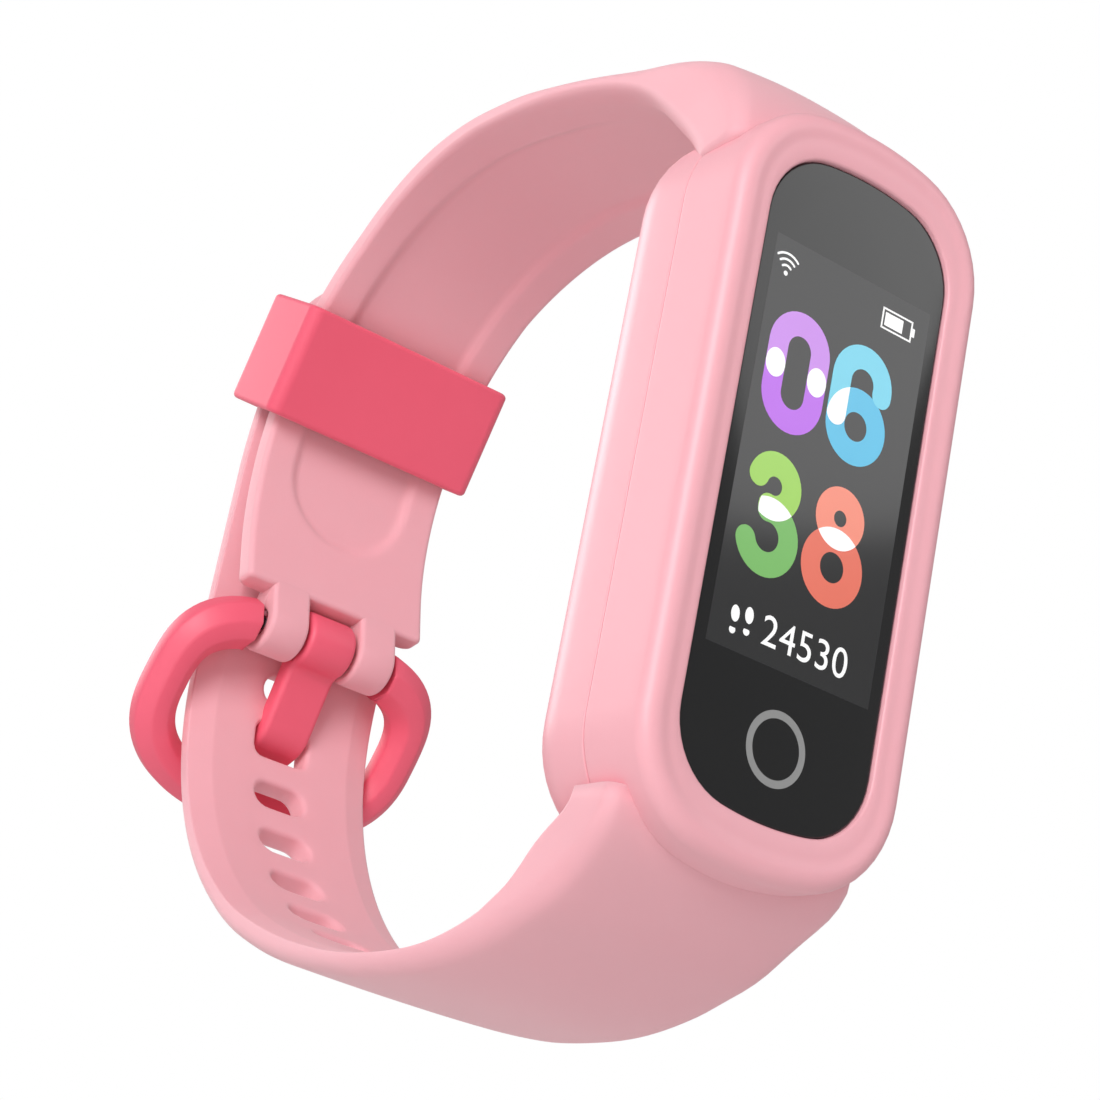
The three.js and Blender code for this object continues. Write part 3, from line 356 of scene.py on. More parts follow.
def make_bezel():
    """Front frame: flat sides, a proud soft roll, a shallow flat band and a fine gap to the glass."""
    seam = SEAM - SEAM_LINE
    loops = [case_loop(inset, seam - d) for inset, d in SEAM_EDGE]
    loops += [case_loop(0, seam - d) for d in (1.2, 2.4, 3.2)]
    loops += [case_loop(inset, y) for inset, y in arc((ROLL, POD_FRONT + ROLL), ROLL, 180, 270, 9)]
    loops += [case_loop(inset, POD_FRONT + d) for inset, d in FRAME_BAND]
    loops += [glass_loop(inset, POD_FRONT + d) for inset, d in GLASS_POCKET]
    loops += [case_loop(CASE_WALL, POD_FRONT + 2.2), case_loop(CASE_WALL, seam)]
    bm = bmesh.new()
    loops_to_mesh(bm, loops, closed_profile=True)
    finish_mesh("bezel_frame", bm, CASE_POLYCARBONATE, "tracker", "case", "front_frame")


def make_rear_tub():
    """Rear shell: straight at the seam, then rounded right over to a flat back with its openings."""
    seam = SEAM + SEAM_LINE
    turn = (BACK_ROUND, POD_BACK - BACK_ROUND)
    loops = [case_loop(inset, seam + d) for inset, d in SEAM_EDGE + ((0, 1),)]
    loops += [case_loop(inset, y) for inset, y in arc(turn, BACK_ROUND, 180, 90, 16)]
    inner = [case_loop(CASE_WALL, seam)]
    inner += [case_loop(inset, y) for inset, y in arc(turn, BACK_ROUND - CASE_WALL, 180, 90, 8)]
    bm = bmesh.new()
    outside = loops_to_mesh(bm, loops)
    inside = loops_to_mesh(bm, inner)
    bridge(bm, outside[0], inside[0])
    outer_rims, inner_rims = [outside[-1]], [inside[-1]]
    for node, gap in FITTING_GAPS.items():
        low, high = box_mm(node)
        radius = (high.x - low.x) / 2 + gap
        x, z = (low.x + high.x) / 2, (low.z + high.z) / 2
        rims = [(radius + 0.18, 0), (radius + 0.06, 0.05), (radius, 0.16), (radius, CASE_WALL)]
        rows = loops_to_mesh(bm, [ring_of(r, POD_BACK - depth, x, z) for r, depth in rims])
        outer_rims.append(rows[0])
        inner_rims.append(rows[-1])
    fill_between(bm, outer_rims)
    fill_between(bm, inner_rims)
    for side in (-1, 1):
        make_rail(bm, side)
    finish_mesh("rear_tub", bm, CASE_POLYCARBONATE, "tracker", "case_back", "rear_shell")


def make_rail(bm, side):
    """The mushroom rail at one end, which the strap root is stretched over."""
    y = POD_BACK - RAIL_FROM_BACK
    rows = []
    for half_width, half_depth, past in RAIL_SECTIONS:
        rows.append([(sx * half_width, y + sy * half_depth, side * (POD_LENGTH / 2 + past))
                     for sx, sy in ((-1, -1), (1, -1), (1, 1), (-1, 1))])
    made = loops_to_mesh(bm, rows)
    bm.faces.new(made[0])
    bm.faces.new(made[-1])


def make_glass():
    """Cover glass: flat, with a fine polished round at its edge."""
    loops = [glass_loop(GLASS_EDGE, glass_high.y)]
    for inset, y in arc((GLASS_EDGE, GLASS_FRONT + GLASS_EDGE), GLASS_EDGE, 180, 270, 6):
        loops.append(glass_loop(inset, y))
    bm = bmesh.new()
    rows = loops_to_mesh(bm, loops)
    bm.faces.new(rows[0])
    fill_between(bm, [rows[-1]])
    finish_mesh("cover_glass_pane", bm, COVER_GLASS, "tracker", "cover_glass", "cover_glass")


def turned(name, profile, node, material, slot):
    """A round fitting in a node's place: (distance along Y, radius) points from its inner end."""
    low, high = box_mm(node)
    x, z = (low.x + high.x) / 2, (low.z + high.z) / 2
    bm = bmesh.new()
    made = loops_to_mesh(bm, [ring_of(radius, low.y + along, x, z) for along, radius in profile])
    bm.faces.new(made[0])
    bm.faces.new(made[-1])
    finish_mesh(name, bm, material, "tracker", slot, node)


def make_back_fittings():
    """The domed sensor window and the two gold charging pads."""
    low, high = box_mm("sensor_window")
    depth, radius = high.y - low.y, (high.x - low.x) / 2
    dome = [(depth - 0.3 + 0.3 * math.sin(t), radius - 0.5 + 0.5 * math.cos(t))
            for t in [math.radians(15 * k) for k in range(7)]]
    turned("pulse_sensor_lens", [(0, radius), (depth - 0.35, radius)] + dome, "sensor_window",
           SENSOR_GLASS, "sensor_window")
    for end in ("left", "right"):
        low, high = box_mm("charging_contact_" + end)
        depth, radius = high.y - low.y, (high.x - low.x) / 2
        shoulder = [(depth - 0.12, radius), (depth - 0.04, radius - 0.04), (depth, radius - 0.14)]
        turned("gold_pad_" + end, [(0, radius)] + shoulder, "charging_contact_" + end, GOLD_PLATE,
               "gold_contact")


# ---------------------------------------------------------------- the picture on the display

PICTURE_STEP = 0.006
STROKE = 0.635
DIGIT_HALF = 1.4
LEFT_DIGIT_X = -2.75
RIGHT_DIGIT_X = 1.63
HOUR_TOP_Z = 6.57
HOUR_LOW_Z = 4.2


def flat_piece(name, outline_rows, level, material):
    """Thin closed patches on the glass: each row pair is a strip, each level sits above the last."""
    y0 = GLASS_FRONT - PICTURE_STEP * (level + 0.6)
    y1 = GLASS_FRONT + 0.01
    bm = bmesh.new()
    for left, right in outline_rows:
        front_l, front_r, back_l, back_r = [[bm.verts.new((x, y, z)) for x, z in row]
                                            for y in (y0, y1) for row in (left, right)]
        for first, second in ((front_l, front_r), (back_l, back_r), (front_l, back_l), (front_r, back_r)):
            bridge(bm, first, second, closed=False)
        for end in (0, -1):
            bm.faces.new([front_l[end], front_r[end], back_r[end], back_l[end]])
    piece = finish_mesh(name, bm, material, "tracker", "display")
    for face in piece.data.polygons:
        face.use_smooth = False


def stroke(points, radius, steps=8):
    """A round-ended stroke along points, as a left row and a right row."""
    left, right = [], []

    def heading(i):
        a, b = points[max(i - 1, 0)], points[min(i + 1, len(points) - 1)]
        d = math.dist(a, b)
        return (b[0] - a[0]) / d, (b[1] - a[1]) / d

    def add(i, forward, reach):
        (x, z), (ux, uz) = points[i], heading(i % len(points))
        x, z = x + ux * forward, z + uz * forward
        left.append((x - uz * reach, z + ux * reach))
        right.append((x + uz * reach, z - ux * reach))

    turns = [math.pi / 2 * k / steps for k in range(1, steps)]
    for t in turns:
        add(0, -radius * math.cos(t), radius * math.sin(t))
    for i in range(len(points)):
        add(i, 0, radius)
    for t in reversed(turns):
        add(-1, radius * math.cos(t), radius * math.sin(t))
    return left, right


def closed_stroke(centre, radius, half, count=48):
    """A closed ring of even width as an inner row and an outer row."""
    return arc(centre, radius - half, 0, 360, count), arc(centre, radius + half, 0, 360, count)


def slab(x0, z0, x1, z1):
    return [(x0, z0), (x1, z0)], [(x0, z1), (x1, z1)]


def oval(centre, half_x, half_z, count=48, slant=0):
    """A closed outline, anticlockwise from its right side."""
    turns = [2 * math.pi * k / count for k in range(count)]
    return [(centre[0] + half_x * math.cos(t), centre[1] + half_z * math.sin(t) - slant * math.cos(t))
            for t in turns]


def disc(centre, radius, count=48):
    return oval(centre, radius, radius, count)


def clip(subject, window):
    """The part of one convex outline that lies inside another; both run anticlockwise."""
    out = subject
    for (ax, az), (bx, bz) in zip(window, window[1:] + window[:1]):
        kept, source = [], out
        for p, q in zip(source, source[1:] + source[:1]):
            dp = (bx - ax) * (p[1] - az) - (bz - az) * (p[0] - ax)
            dq = (bx - ax) * (q[1] - az) - (bz - az) * (q[0] - ax)
            if dp >= 0:
                kept.append(p)
            if dp * dq < 0:
                t = dp / (dp - dq)
                kept.append((p[0] + (q[0] - p[0]) * t, p[1] + (q[1] - p[1]) * t))
        out = kept
    return out


def convex_rows(outline):
    """A convex outline as two rows that face each other from its left end to its right end."""
    low = min(range(len(outline)), key=lambda i: outline[i][0])
    ring = outline[low:] + outline[:low]
    high = max(range(len(ring)), key=lambda i: ring[i][0])
    below = ring[:high + 1]
    above = (ring[high:] + ring[:1])[::-1]

    def at(row, x):
        for p, q in zip(row, row[1:]):
            if p[0] <= x <= q[0] and q[0] > p[0]:
                return p[1] + (q[1] - p[1]) * (x - p[0]) / (q[0] - p[0])
        return row[-1][1]

    x0, x1 = ring[0][0], ring[high][0]
    xs = [x0 + (x1 - x0) * (1 - math.cos(math.pi * k / 36)) / 2 for k in range(1, 36)]
    return [(x, at(below, x)) for x in xs], [(x, at(above, x)) for x in xs]


def draw_nought():
    """Hour's tens: an upper arch and a lower arch whose ends overlap in two ovals."""
    meet_z, lap = 5.42, 0.13
    ends = (LEFT_DIGIT_X - DIGIT_HALF, LEFT_DIGIT_X + DIGIT_HALF)
    upper = arc((LEFT_DIGIT_X, HOUR_TOP_Z), DIGIT_HALF, 180, 0, 20)
    lower = arc((LEFT_DIGIT_X, HOUR_LOW_Z), DIGIT_HALF, 180, 360, 20)
    upper = [(ends[0], meet_z - lap)] + upper + [(ends[1], meet_z - lap)]
    lower = [(ends[0], meet_z + lap)] + lower + [(ends[1], meet_z + lap)]
    flat_piece("hour_tens_lower", [stroke(lower, STROKE)], 1, LIT["violet"])
    flat_piece("hour_tens_upper", [stroke(upper, STROKE)], 2, LIT["violet_light"])
    for x, end in zip(ends, ("left", "right")):
        lens = oval((x, meet_z), STROKE, STROKE * 1.2)
        flat_piece("hour_tens_overlap_" + end, [convex_rows(lens)], 3, LIT["white"])


def draw_six():
    """Hour's units: a hooked stem over a closed ring."""
    foot = (RIGHT_DIGIT_X - DIGIT_HALF, 4.45)
    bowl = (RIGHT_DIGIT_X, HOUR_LOW_Z)
    stem = [foot] + arc((RIGHT_DIGIT_X, HOUR_TOP_Z), DIGIT_HALF, 180, -8, 22)
    flat_piece("hour_units_ring", [closed_stroke(bowl, DIGIT_HALF, STROKE)], 1, LIT["sky"])
    flat_piece("hour_units_stem", [stroke(stem, STROKE)], 2, LIT["sky_light"])
    stem_outline = arc((foot[0], 7), STROKE, 0, 180, 16) + arc(foot, STROKE, 180, 360, 16)
    lens = clip(disc(bowl, DIGIT_HALF + STROKE), stem_outline)
    flat_piece("hour_units_overlap", [convex_rows(lens)], 3, LIT["white"])


def draw_three():
    """Minute's tens: two open bowls that cross at the waist."""
    high, low, high_radius = (-2.85, -0.75), (-2.8, -3.4), 1.12
    lower, upper = arc(low, DIGIT_HALF, 100, -159, 30), arc(high, high_radius, 165, -100, 30)
    flat_piece("minute_tens_lower", [stroke(lower, STROKE)], 1, LIT["leaf"])
    flat_piece("minute_tens_upper", [stroke(upper, STROKE)], 2, LIT["leaf_light"])
    lens = clip(disc(high, high_radius + STROKE), disc(low, DIGIT_HALF + STROKE))
    lens = clip(lens, disc((-2.45, -1.96), 1.2))
    flat_piece("minute_tens_overlap", [convex_rows(lens)], 3, LIT["white"])


def draw_eight():
    """Minute's units: two closed rings, the upper one smaller and a little finer."""
    high, low = (RIGHT_DIGIT_X, -0.8), (1.6, -3.42)
    high_radius, low_radius, fine = 1.03, 1.42, 0.61
    flat_piece("minute_units_lower", [closed_stroke(low, low_radius, STROKE)], 1, LIT["coral"])
    flat_piece("minute_units_upper", [closed_stroke(high, high_radius, fine)], 2, LIT["coral_light"])
    lens = clip(disc(high, high_radius + fine), disc(low, low_radius + STROKE))
    flat_piece("minute_units_overlap", [convex_rows(lens)], 3, LIT["white"])


def draw_footprints():
    """Two small shoe prints: an oval sole and a round heel that is cut straight across its top."""
    prints = []
    for x, z in ((-3.9, -7.76), (-3.02, -7.58)):
        heel_top = z - 0.72
        under = [(x - 1, z - 2), (x + 1, z - 2), (x + 1, heel_top), (x - 1, heel_top)]
        heel = clip(disc((x - 0.03, z - 0.84), 0.2, 24), under)
        prints += [convex_rows(oval((x, z), 0.27, 0.42, 32, slant=0.03)), convex_rows(heel)]
    flat_piece("footprints", prints, 1, LIT["white"])


def draw_battery_sign():
    """A fine rectangular outline, the charge inside it and the nub at its end."""
    x0, x1, z0, z1 = 2.24, 4.3, 10.05, 11.12
    half_line = 0.05
    rows = [slab(x0, z - half_line, x1, z + half_line) for z in (z0, z1)]
    rows += [slab(x - half_line, z0 - half_line, x + half_line, z1 + half_line) for x in (x0, x1)]
    rows.append(slab(x0 + 0.17, z0 + 0.17, x1 - 0.62, z1 - 0.17))
    rows.append(slab(x1 + 0.06, z0 + 0.3, x1 + 0.24, z1 - 0.3))
    flat_piece("battery_sign", rows, 1, LIT["white"])


def draw_signal_sign():
    """A plain signal sign: a dot under three arcs."""
    dot = (-4.49, 10.15)
    rows = [convex_rows(disc(dot, 0.13, 24))]
    rows += [stroke(arc(dot, radius, 50, 130, 12), 0.06) for radius in (0.42, 0.74, 1.06)]
    flat_piece("signal_sign", rows, 1, LIT["white"])


def draw_step_count():
    """The step count in plain figures, fitted to its place under the clock."""
    left, foot, width, height, rise = -2.05, -8.68, 5.66, 1.56, 0.004
    text = bpy.data.curves.new("step_count", "FONT")
    text.body = "24530"
    text.size = 2.2 * MM
    text.space_character = 1.05
    text.extrude = rise * MM
    made = bpy.data.objects.new("step_count_source", text)
    bpy.context.scene.collection.objects.link(made)
    bpy.context.view_layer.update()
    mesh = bpy.data.meshes.new_from_object(made.evaluated_get(bpy.context.evaluated_depsgraph_get()))
    bpy.data.objects.remove(made)
    xs = [v.co.x for v in mesh.vertices]
    ys = [v.co.y for v in mesh.vertices]
    wide, tall = width * MM / (max(xs) - min(xs)), height * MM / (max(ys) - min(ys))
    for v in mesh.vertices:
        x = (v.co.x - min(xs)) * wide + left * MM
        z = (v.co.y - min(ys)) * tall + foot * MM
        v.co = (x, GLASS_FRONT * MM - v.co.z - rise * MM, z)
    mesh.materials.clear()
    mesh.materials.append(LIT["white"])
    piece = bpy.data.objects.new("step_count", mesh)
    bpy.context.scene.collection.objects.link(piece)
    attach(piece, "tracker")


def make_picture():
    """The display's picture: the time in two-tone round strokes, the step count and two signs."""
    draw_nought()
    draw_six()
    draw_three()
    draw_eight()
    draw_footprints()
    draw_battery_sign()
    draw_signal_sign()
    draw_step_count()
    flat_piece("lit_panel_area", [slab(-5.42, -9.6, 5.42, 12.05)], 0, LIT_GLASS)
    low, high = box_mm("touch_pad")
    key_ring = closed_stroke((0, (low.z + high.z) / 2), 1.71, 0.2, 64)
    # the printed ring's glow is painted light
    flat_piece("touch_key_ring_painted_glow", [key_ring], 0, KEY_RING_INK_PAINTED_GLOW)


# ---------------------------------------------------------------- the straps

STRAP_THICKNESS = 1.6
LAYER_GAP = 0.3
CLASP_RADIUS = 17.5
CLASP_HALF = 6.45
CROWN_RADIUS = 46
CROWN_REACH = 14.0
HEEL_RADIUS = 17.9
HEEL_ANGLE = 69
SOLE_RADIUS = 50
ARCH_RADIUS = 20
ARCH_ANGLE = 20
TAIL_TIP_ANGLE = 42
TIP_ROUND = 5
BAR_ABOVE_HEEL = 2.17
KNUCKLE_RADIUS = 1.8
KNUCKLE_FROM, KNUCKLE_TO = 1.9, 4.55
TONGUE_LEAN = 19
TONGUE_ELBOW = 6.4
TONGUE_INNER = -0.55
RING_LEAN = 28
HOLE_PITCH = 3.5
HOLE_COUNT = 10
HOLE_ROWS = 6
HOLE_ROUND = 0.34
TONGUE_HOLE = 5
# where the strap draws in close to the pod, and how far that waist lies behind the frame's
WAIST_HALF = 7.6
WAIST_BACK = 1.44
WAIST_UP = 0.6
TAPER_FROM_Y, TAPER_TO_Y = -18, 11.5

bar_low, bar_high = box_mm("bar_tube")
BAR = ((bar_low.y + bar_high.y) / 2, (bar_low.z + bar_high.z) / 2)
BAR_BORE = (bar_high.z - bar_low.z) / 2 + 0.1
TIP_BORE = 0.46
TAIL_RADIUS = CLASP_RADIUS + STRAP_THICKNESS + LAYER_GAP
HEEL = (TAIL_RADIUS - HEEL_RADIUS, BAR[1] - BAR_ABOVE_HEEL)
SOLE = (HEEL[0] - (SOLE_RADIUS - HEEL_RADIUS) * math.cos(math.radians(HEEL_ANGLE)),
        HEEL[1] + (SOLE_RADIUS - HEEL_RADIUS) * math.sin(math.radians(HEEL_ANGLE)))
strap_low, strap_high = box_mm("upper_strap")
CROWN_TOP = strap_high.z - STRAP_THICKNESS
CLASP = (0, CROWN_TOP - CLASP_RADIUS)
ROOT_HALF = (strap_high.x - strap_low.x) / 2
# each root's faces from the side, from the pod to where the strap's own thickness takes over
LOWER_ROOT_INNER = ((-21.8, -17.3), (-21.6, -18.3), (-20.9, -19.4), (-19.9, -20.9), (-18.6, -22.2))
LOWER_ROOT_OUTER = ((-25.38, -17.3), (-25.4, -18.7), (-25.15, -20.2), (-24.35, -21.7), (-23.2, -22.85),
                    (-21.5, -23.9), (-19.5, -24.72))
UPPER_ROOT_INNER = ((-21.5, 16.1), (-21.1, 17.1), (-20.3, 18.3), (-19.0, 19.7), (-17.4, 21.1),
                    (-15.8, 22.0))
UPPER_ROOT_OUTER = ((-25.38, 17.2), (-25.4, 18.6), (-25.2, 20.2), (-24.5, 21.5), (-23.4, 22.45),
                    (-21.0, 23.35), (-18.2, 24.0))


def through(points, steps=8):
    """A smooth curve through points, as a dense row of points."""
    out = []
    ends = [points[0]] + list(points) + [points[-1]]
    for i in range(1, len(ends) - 2):
        p0, p1, p2, p3 = ends[i - 1:i + 3]
        for k in range(steps):
            t = k / steps
            out.append(tuple(0.5 * (2 * b + (c - a) * t + (2 * a - 5 * b + 4 * c - d) * t * t
                                    + (3 * b - a - 3 * c + d) * t ** 3)
                             for a, b, c, d in zip(p0, p1, p2, p3)))
    out.append(tuple(points[-1]))
    return out


def even(points, count):
    """The same curve at evenly spaced points."""
    sums = [0.0]
    for p, q in zip(points, points[1:]):
        sums.append(sums[-1] + math.dist(p, q))
    out = []
    for k in range(count + 1):
        want = sums[-1] * k / count
        i = min(max(bisect.bisect_right(sums, want) - 1, 0), len(points) - 2)
        t = (want - sums[i]) / max(sums[i + 1] - sums[i], 1e-9)
        out.append(between(points[i], points[i + 1], t))
    return out


def between(p, q, t):
    return tuple(a + (b - a) * t for a, b in zip(p, q))


def thickened(points, side, extra, fade):
    """Pairs of inner and outer points along a path, a little thicker at its start."""
    pairs, run = [], 0.0
    for i, p in enumerate(points):
        a, b = points[max(i - 1, 0)], points[min(i + 1, len(points) - 1)]
        d = math.dist(a, b)
        out = (-(b[1] - a[1]) / d * side, (b[0] - a[0]) / d * side)
        left = max(0.0, 1 - run / fade)
        thick = STRAP_THICKNESS + extra * left * left
        pairs.append((p, (p[0] + out[0] * thick, p[1] + out[1] * thick)))
        if i + 1 < len(points):
            run += math.dist(p, points[i + 1])
    return pairs


class StrapCourse:
    """A strap seen from its side: inner and outer points at a distance along its inner face."""

    def __init__(self, pairs):
        self.pairs = pairs
        self.at = [0.0]
        for (p, _), (q, _) in zip(pairs, pairs[1:]):
            self.at.append(self.at[-1] + max(math.dist(p, q), 1e-6))
        self.length = self.at[-1]

    def place(self, s):
        """The pair before a distance, and the share of the way to the next pair."""
        i = min(max(bisect.bisect_right(self.at, s) - 1, 0), len(self.pairs) - 2)
        return i, (s - self.at[i]) / (self.at[i + 1] - self.at[i])

    def point(self, s, depth):
        """The (y, z) at a distance along and a depth below the outer face."""
        i, t = self.place(s)
        inner = between(self.pairs[i][0], self.pairs[i + 1][0], t)
        outer = between(self.pairs[i][1], self.pairs[i + 1][1], t)
        return between(outer, inner, depth / math.dist(inner, outer))

    def thickness(self, s):
        i, t = self.place(s)
        return math.dist(*self.pairs[i]) * (1 - t) + math.dist(*self.pairs[i + 1]) * t

    def nearest(self, y, z):
        best = min(range(len(self.pairs)), key=lambda i: math.dist(self.pairs[i][0], (y, z)))
        return self.at[best]


def smooth_step(x, low, high):
    t = min(max((x - low) / (high - low), 0.0), 1.0)
    return t * t * (3 - 2 * t)


def eased(s, table):
    """Values that ease from one row of a table to the next; the first column is the distance."""
    for (a, *v0), (b, *v1) in zip(table, table[1:]):
        if s <= b:
            return between(v0, v1, smooth_step(s, a, b))
    return table[-1][1:]


def frame_half_width(y):
    """The frame strap's half width: a straight taper from the pod to the clasp."""
    share = min(max((y - TAPER_FROM_Y) / (TAPER_TO_Y - TAPER_FROM_Y), 0.0), 1.0)
    return ROOT_HALF + (CLASP_HALF - ROOT_HALF) * share


def half_width_at(y):
    """The moulded strap draws in to a waist close to the pod, then keeps to the frame's taper."""
    return min(frame_half_width(y), WAIST_HALF)


def drawn_in(pairs):
    """Moves a root's points with its waist, which lies a little further back than the frame's."""
    settle = 4
    out, run = [], 0.0
    for i, pair in enumerate(pairs):
        run += math.dist(pair[0], pairs[max(i - 1, 0)][0])
        step = (frame_half_width(pair[0][0]) - half_width_at(pair[0][0])) * smooth_step(run, 0, settle)
        out.append(tuple((y + WAIST_BACK * step, z + WAIST_UP * step) for y, z in pair))
    return out


def rooted(root_inner, root_outer, body):
    """A whole strap's course: its root's faces led into its evenly thick body."""
    inner = even(through(root_inner + (body[0][0],)), 40)
    outer = even(through(root_outer + (body[0][1],)), 40)
    return StrapCourse(drawn_in(list(zip(inner, outer))[:-1] + body))


def lower_course():
    """From the pod's lower end, under the wrist, round the heel and up outside the clasp."""
    arch_z = SOLE[1] - SOLE_RADIUS + ARCH_RADIUS
    path = arc((SOLE[0], arch_z), ARCH_RADIUS, -90 - ARCH_ANGLE, -90, 12)
    path += arc(SOLE, SOLE_RADIUS, -90, -HEEL_ANGLE, 24)[1:]
    path += arc(HEEL, HEEL_RADIUS, -HEEL_ANGLE, 0, 36)[1:]
    rise = CLASP[1] - HEEL[1]
    path += [(TAIL_RADIUS, HEEL[1] + rise * k / 12) for k in range(1, 13)]
    path += arc(CLASP, TAIL_RADIUS, 0, TAIL_TIP_ANGLE, 24)[1:]
    return rooted(LOWER_ROOT_INNER, LOWER_ROOT_OUTER, thickened(path, -1, 0.65, 12))


def upper_course():
    """From the pod's upper end, over the crown and down inside the clasp."""
    centre = (0, CROWN_TOP - CROWN_RADIUS)
    start = 90 + math.degrees(math.asin(CROWN_REACH / CROWN_RADIUS))
    path = arc(centre, CROWN_RADIUS, start, 90, 20)
    flush = KNUCKLE_RADIUS - 0.05
    reach = math.dist(BAR, CLASP)
    angle = math.atan2(BAR[1] - CLASP[1], BAR[0] - CLASP[0])
    leave = math.degrees(angle + math.acos((CLASP_RADIUS + flush) / reach))
    path += arc(CLASP, CLASP_RADIUS, 90, leave, 70)[1:]
    end = (BAR[0] - flush * math.cos(math.radians(leave)), BAR[1] - flush * math.sin(math.radians(leave)))
    path = path[:-1] + even([path[-1], end], 16)
    return rooted(UPPER_ROOT_INNER, UPPER_ROOT_OUTER, thickened(path, 1, 0.5, 8))


def side_chain(last, half, thick, crowned, outer_round, inner_round):
    """A section's side, from its last column round to its inner face, as (x, depth) points."""
    wide, deep = outer_round
    in_wide, in_deep, soft = inner_round
    flat = half - wide
    points = []
    for share in (0.25, 0.5, 0.75, 1.0):
        x = last + (flat - last) * share
        points.append((x, crowned(x)))
    for k in range(1, 8):
        a = math.pi / 2 * k / 7
        x = flat + wide * math.sin(a)
        points.append((x, crowned(x) + deep * (1 - math.cos(a))))
    top, foot = crowned(half) + deep, thick - in_deep
    points += [(half, (top + foot) / 2), (half, foot - min(0.1, (foot - top) * 0.3))]
    for t in (0, 0.06, 0.2, 0.4, 0.6, 0.8, 0.94, 1):
        a = math.pi / 2 * t
        in_share = soft * (1 - math.cos(a)) + (1 - soft) * t
        up_share = soft * (1 - math.sin(a)) + (1 - soft) * (1 - t)
        points.append((half - in_wide * in_share, thick - in_deep * up_share))
    landing = half - in_wide - 0.15
    return points + [(landing, thick), ((landing + last) / 2, thick)]


def rounded_hole(x, s, half_x, half_s, corner):
    """A point of the hole's outline that faces a point of the block around it."""
    cx = min(max(x, corner - half_x), half_x - corner)
    cs = min(max(s, corner - half_s), half_s - corner)
    d = math.hypot(x - cx, s - cs)
    return cx + corner * (x - cx) / d, cs + corner * (s - cs) / d


def let_hole(bm, course, hole, rows, columns, outer_rows, inner_rows):
    """Lets one hole through a block of the strap, its rims rounded on both faces."""
    distance, first, half_x, half_s, corner = hole
    last, end = len(columns) - 1, first + HOLE_ROWS
    rim = [(first, i) for i in range(last)] + [(k, last) for k in range(first, end)]
    rim += [(end, i) for i in range(last, 0, -1)] + [(k, 0) for k in range(end, first, -1)]

    def hole_loop(turn, from_inside):
        grow = HOLE_ROUND * (1 - math.sin(turn))
        sunk = HOLE_ROUND * (1 - math.cos(turn))
        loop = []
        for k, i in rim:
            x, ds = rounded_hole(columns[i] / columns[-1] * (half_x + grow),
                                 (rows[k] - distance) / (HOLE_PITCH / 2) * (half_s + grow),
                                 half_x + grow, half_s + grow, corner + grow)
            s = distance + ds
            depth = course.thickness(s) - sunk if from_inside else sunk
            loop.append(bm.verts.new((x, *course.point(s, depth))))
        return loop

    turns = [math.radians(a) for a in (0, 22, 45, 68, 90)]
    loops = [[outer_rows[k][i] for k, i in rim]]
    loops += [hole_loop(t, False) for t in turns] + [hole_loop(t, True) for t in reversed(turns)]
    loops.append([inner_rows[k][i] for k, i in rim])
    for first_loop, second_loop in zip(loops, loops[1:]):
        bridge(bm, first_loop, second_loop)


def loft_strap(course, rows, columns, crown, edge, inner_edge, mouth, narrow, holes=(), dip=lambda x, s: 0):
    """The strap's skin: rows of sections, with holes let through both faces.

    Three tables start with the distance along: crown, how far the outer face falls away towards
    its sides; edge, the outer round as (width, depth); and inner_edge, the inner one as (width,
    depth, how round it is from 0 to 1). mouth is how much wider than its waist the strap starts,
    at the pod's side. narrow(s) is how far the end closes across and through, and dip(x, s) how
    deep the inner face is recessed. holes are (distance, first row, half width, half height,
    corner)."""
    bm = bmesh.new()
    outer_rows, inner_rows, sides = [], [], []
    for s in rows:
        thick = course.thickness(s)
        half = half_width_at(course.point(s, thick)[0]) + mouth * (1 - smooth_step(s, 0, 4.5))
        squeeze, thin = narrow(s)
        pad = thick * (1 - thin) / 2
        fall = min(eased(s, crown)[0], thick * 0.6)
        inner_round = eased(s, inner_edge)
        wide, deep = eased(s, edge)
        outer_round = (wide, min(deep, (thick - fall - inner_round[1]) * 0.9))

        def crowned(x):
            return fall * abs(x / half) ** 2.3

        def placed(points):
            return [bm.verts.new((x * squeeze, *course.point(s, pad + depth * thin))) for x, depth in points]

        chain = side_chain(columns[-1], half, thick, crowned, outer_round, inner_round)
        outer_rows.append(placed([(x, crowned(x)) for x in columns]))
        inner_rows.append(placed([(x, thick - dip(x, s)) for x in columns]))
        sides.append((placed(chain), placed([(-x, depth) for x, depth in chain])))
    last = len(columns) - 1
    in_hole = {first + k for _, first, *_ in holes for k in range(HOLE_ROWS)}
    for k in range(len(rows) - 1):
        if k not in in_hole:
            for face in (outer_rows, inner_rows):
                bridge(bm, face[k], face[k + 1], closed=False)
        for side, column in ((0, last), (1, 0)):
            first, second = [[outer_rows[r][column]] + sides[r][side] + [inner_rows[r][column]]
                             for r in (k, k + 1)]
            bridge(bm, first, second, closed=False)
    for k in (0, len(rows) - 1):
        bm.faces.new(outer_rows[k] + sides[k][0] + inner_rows[k][::-1] + sides[k][1][::-1])
    for hole in holes:
        let_hole(bm, course, hole, rows, columns, outer_rows, inner_rows)
    return bm


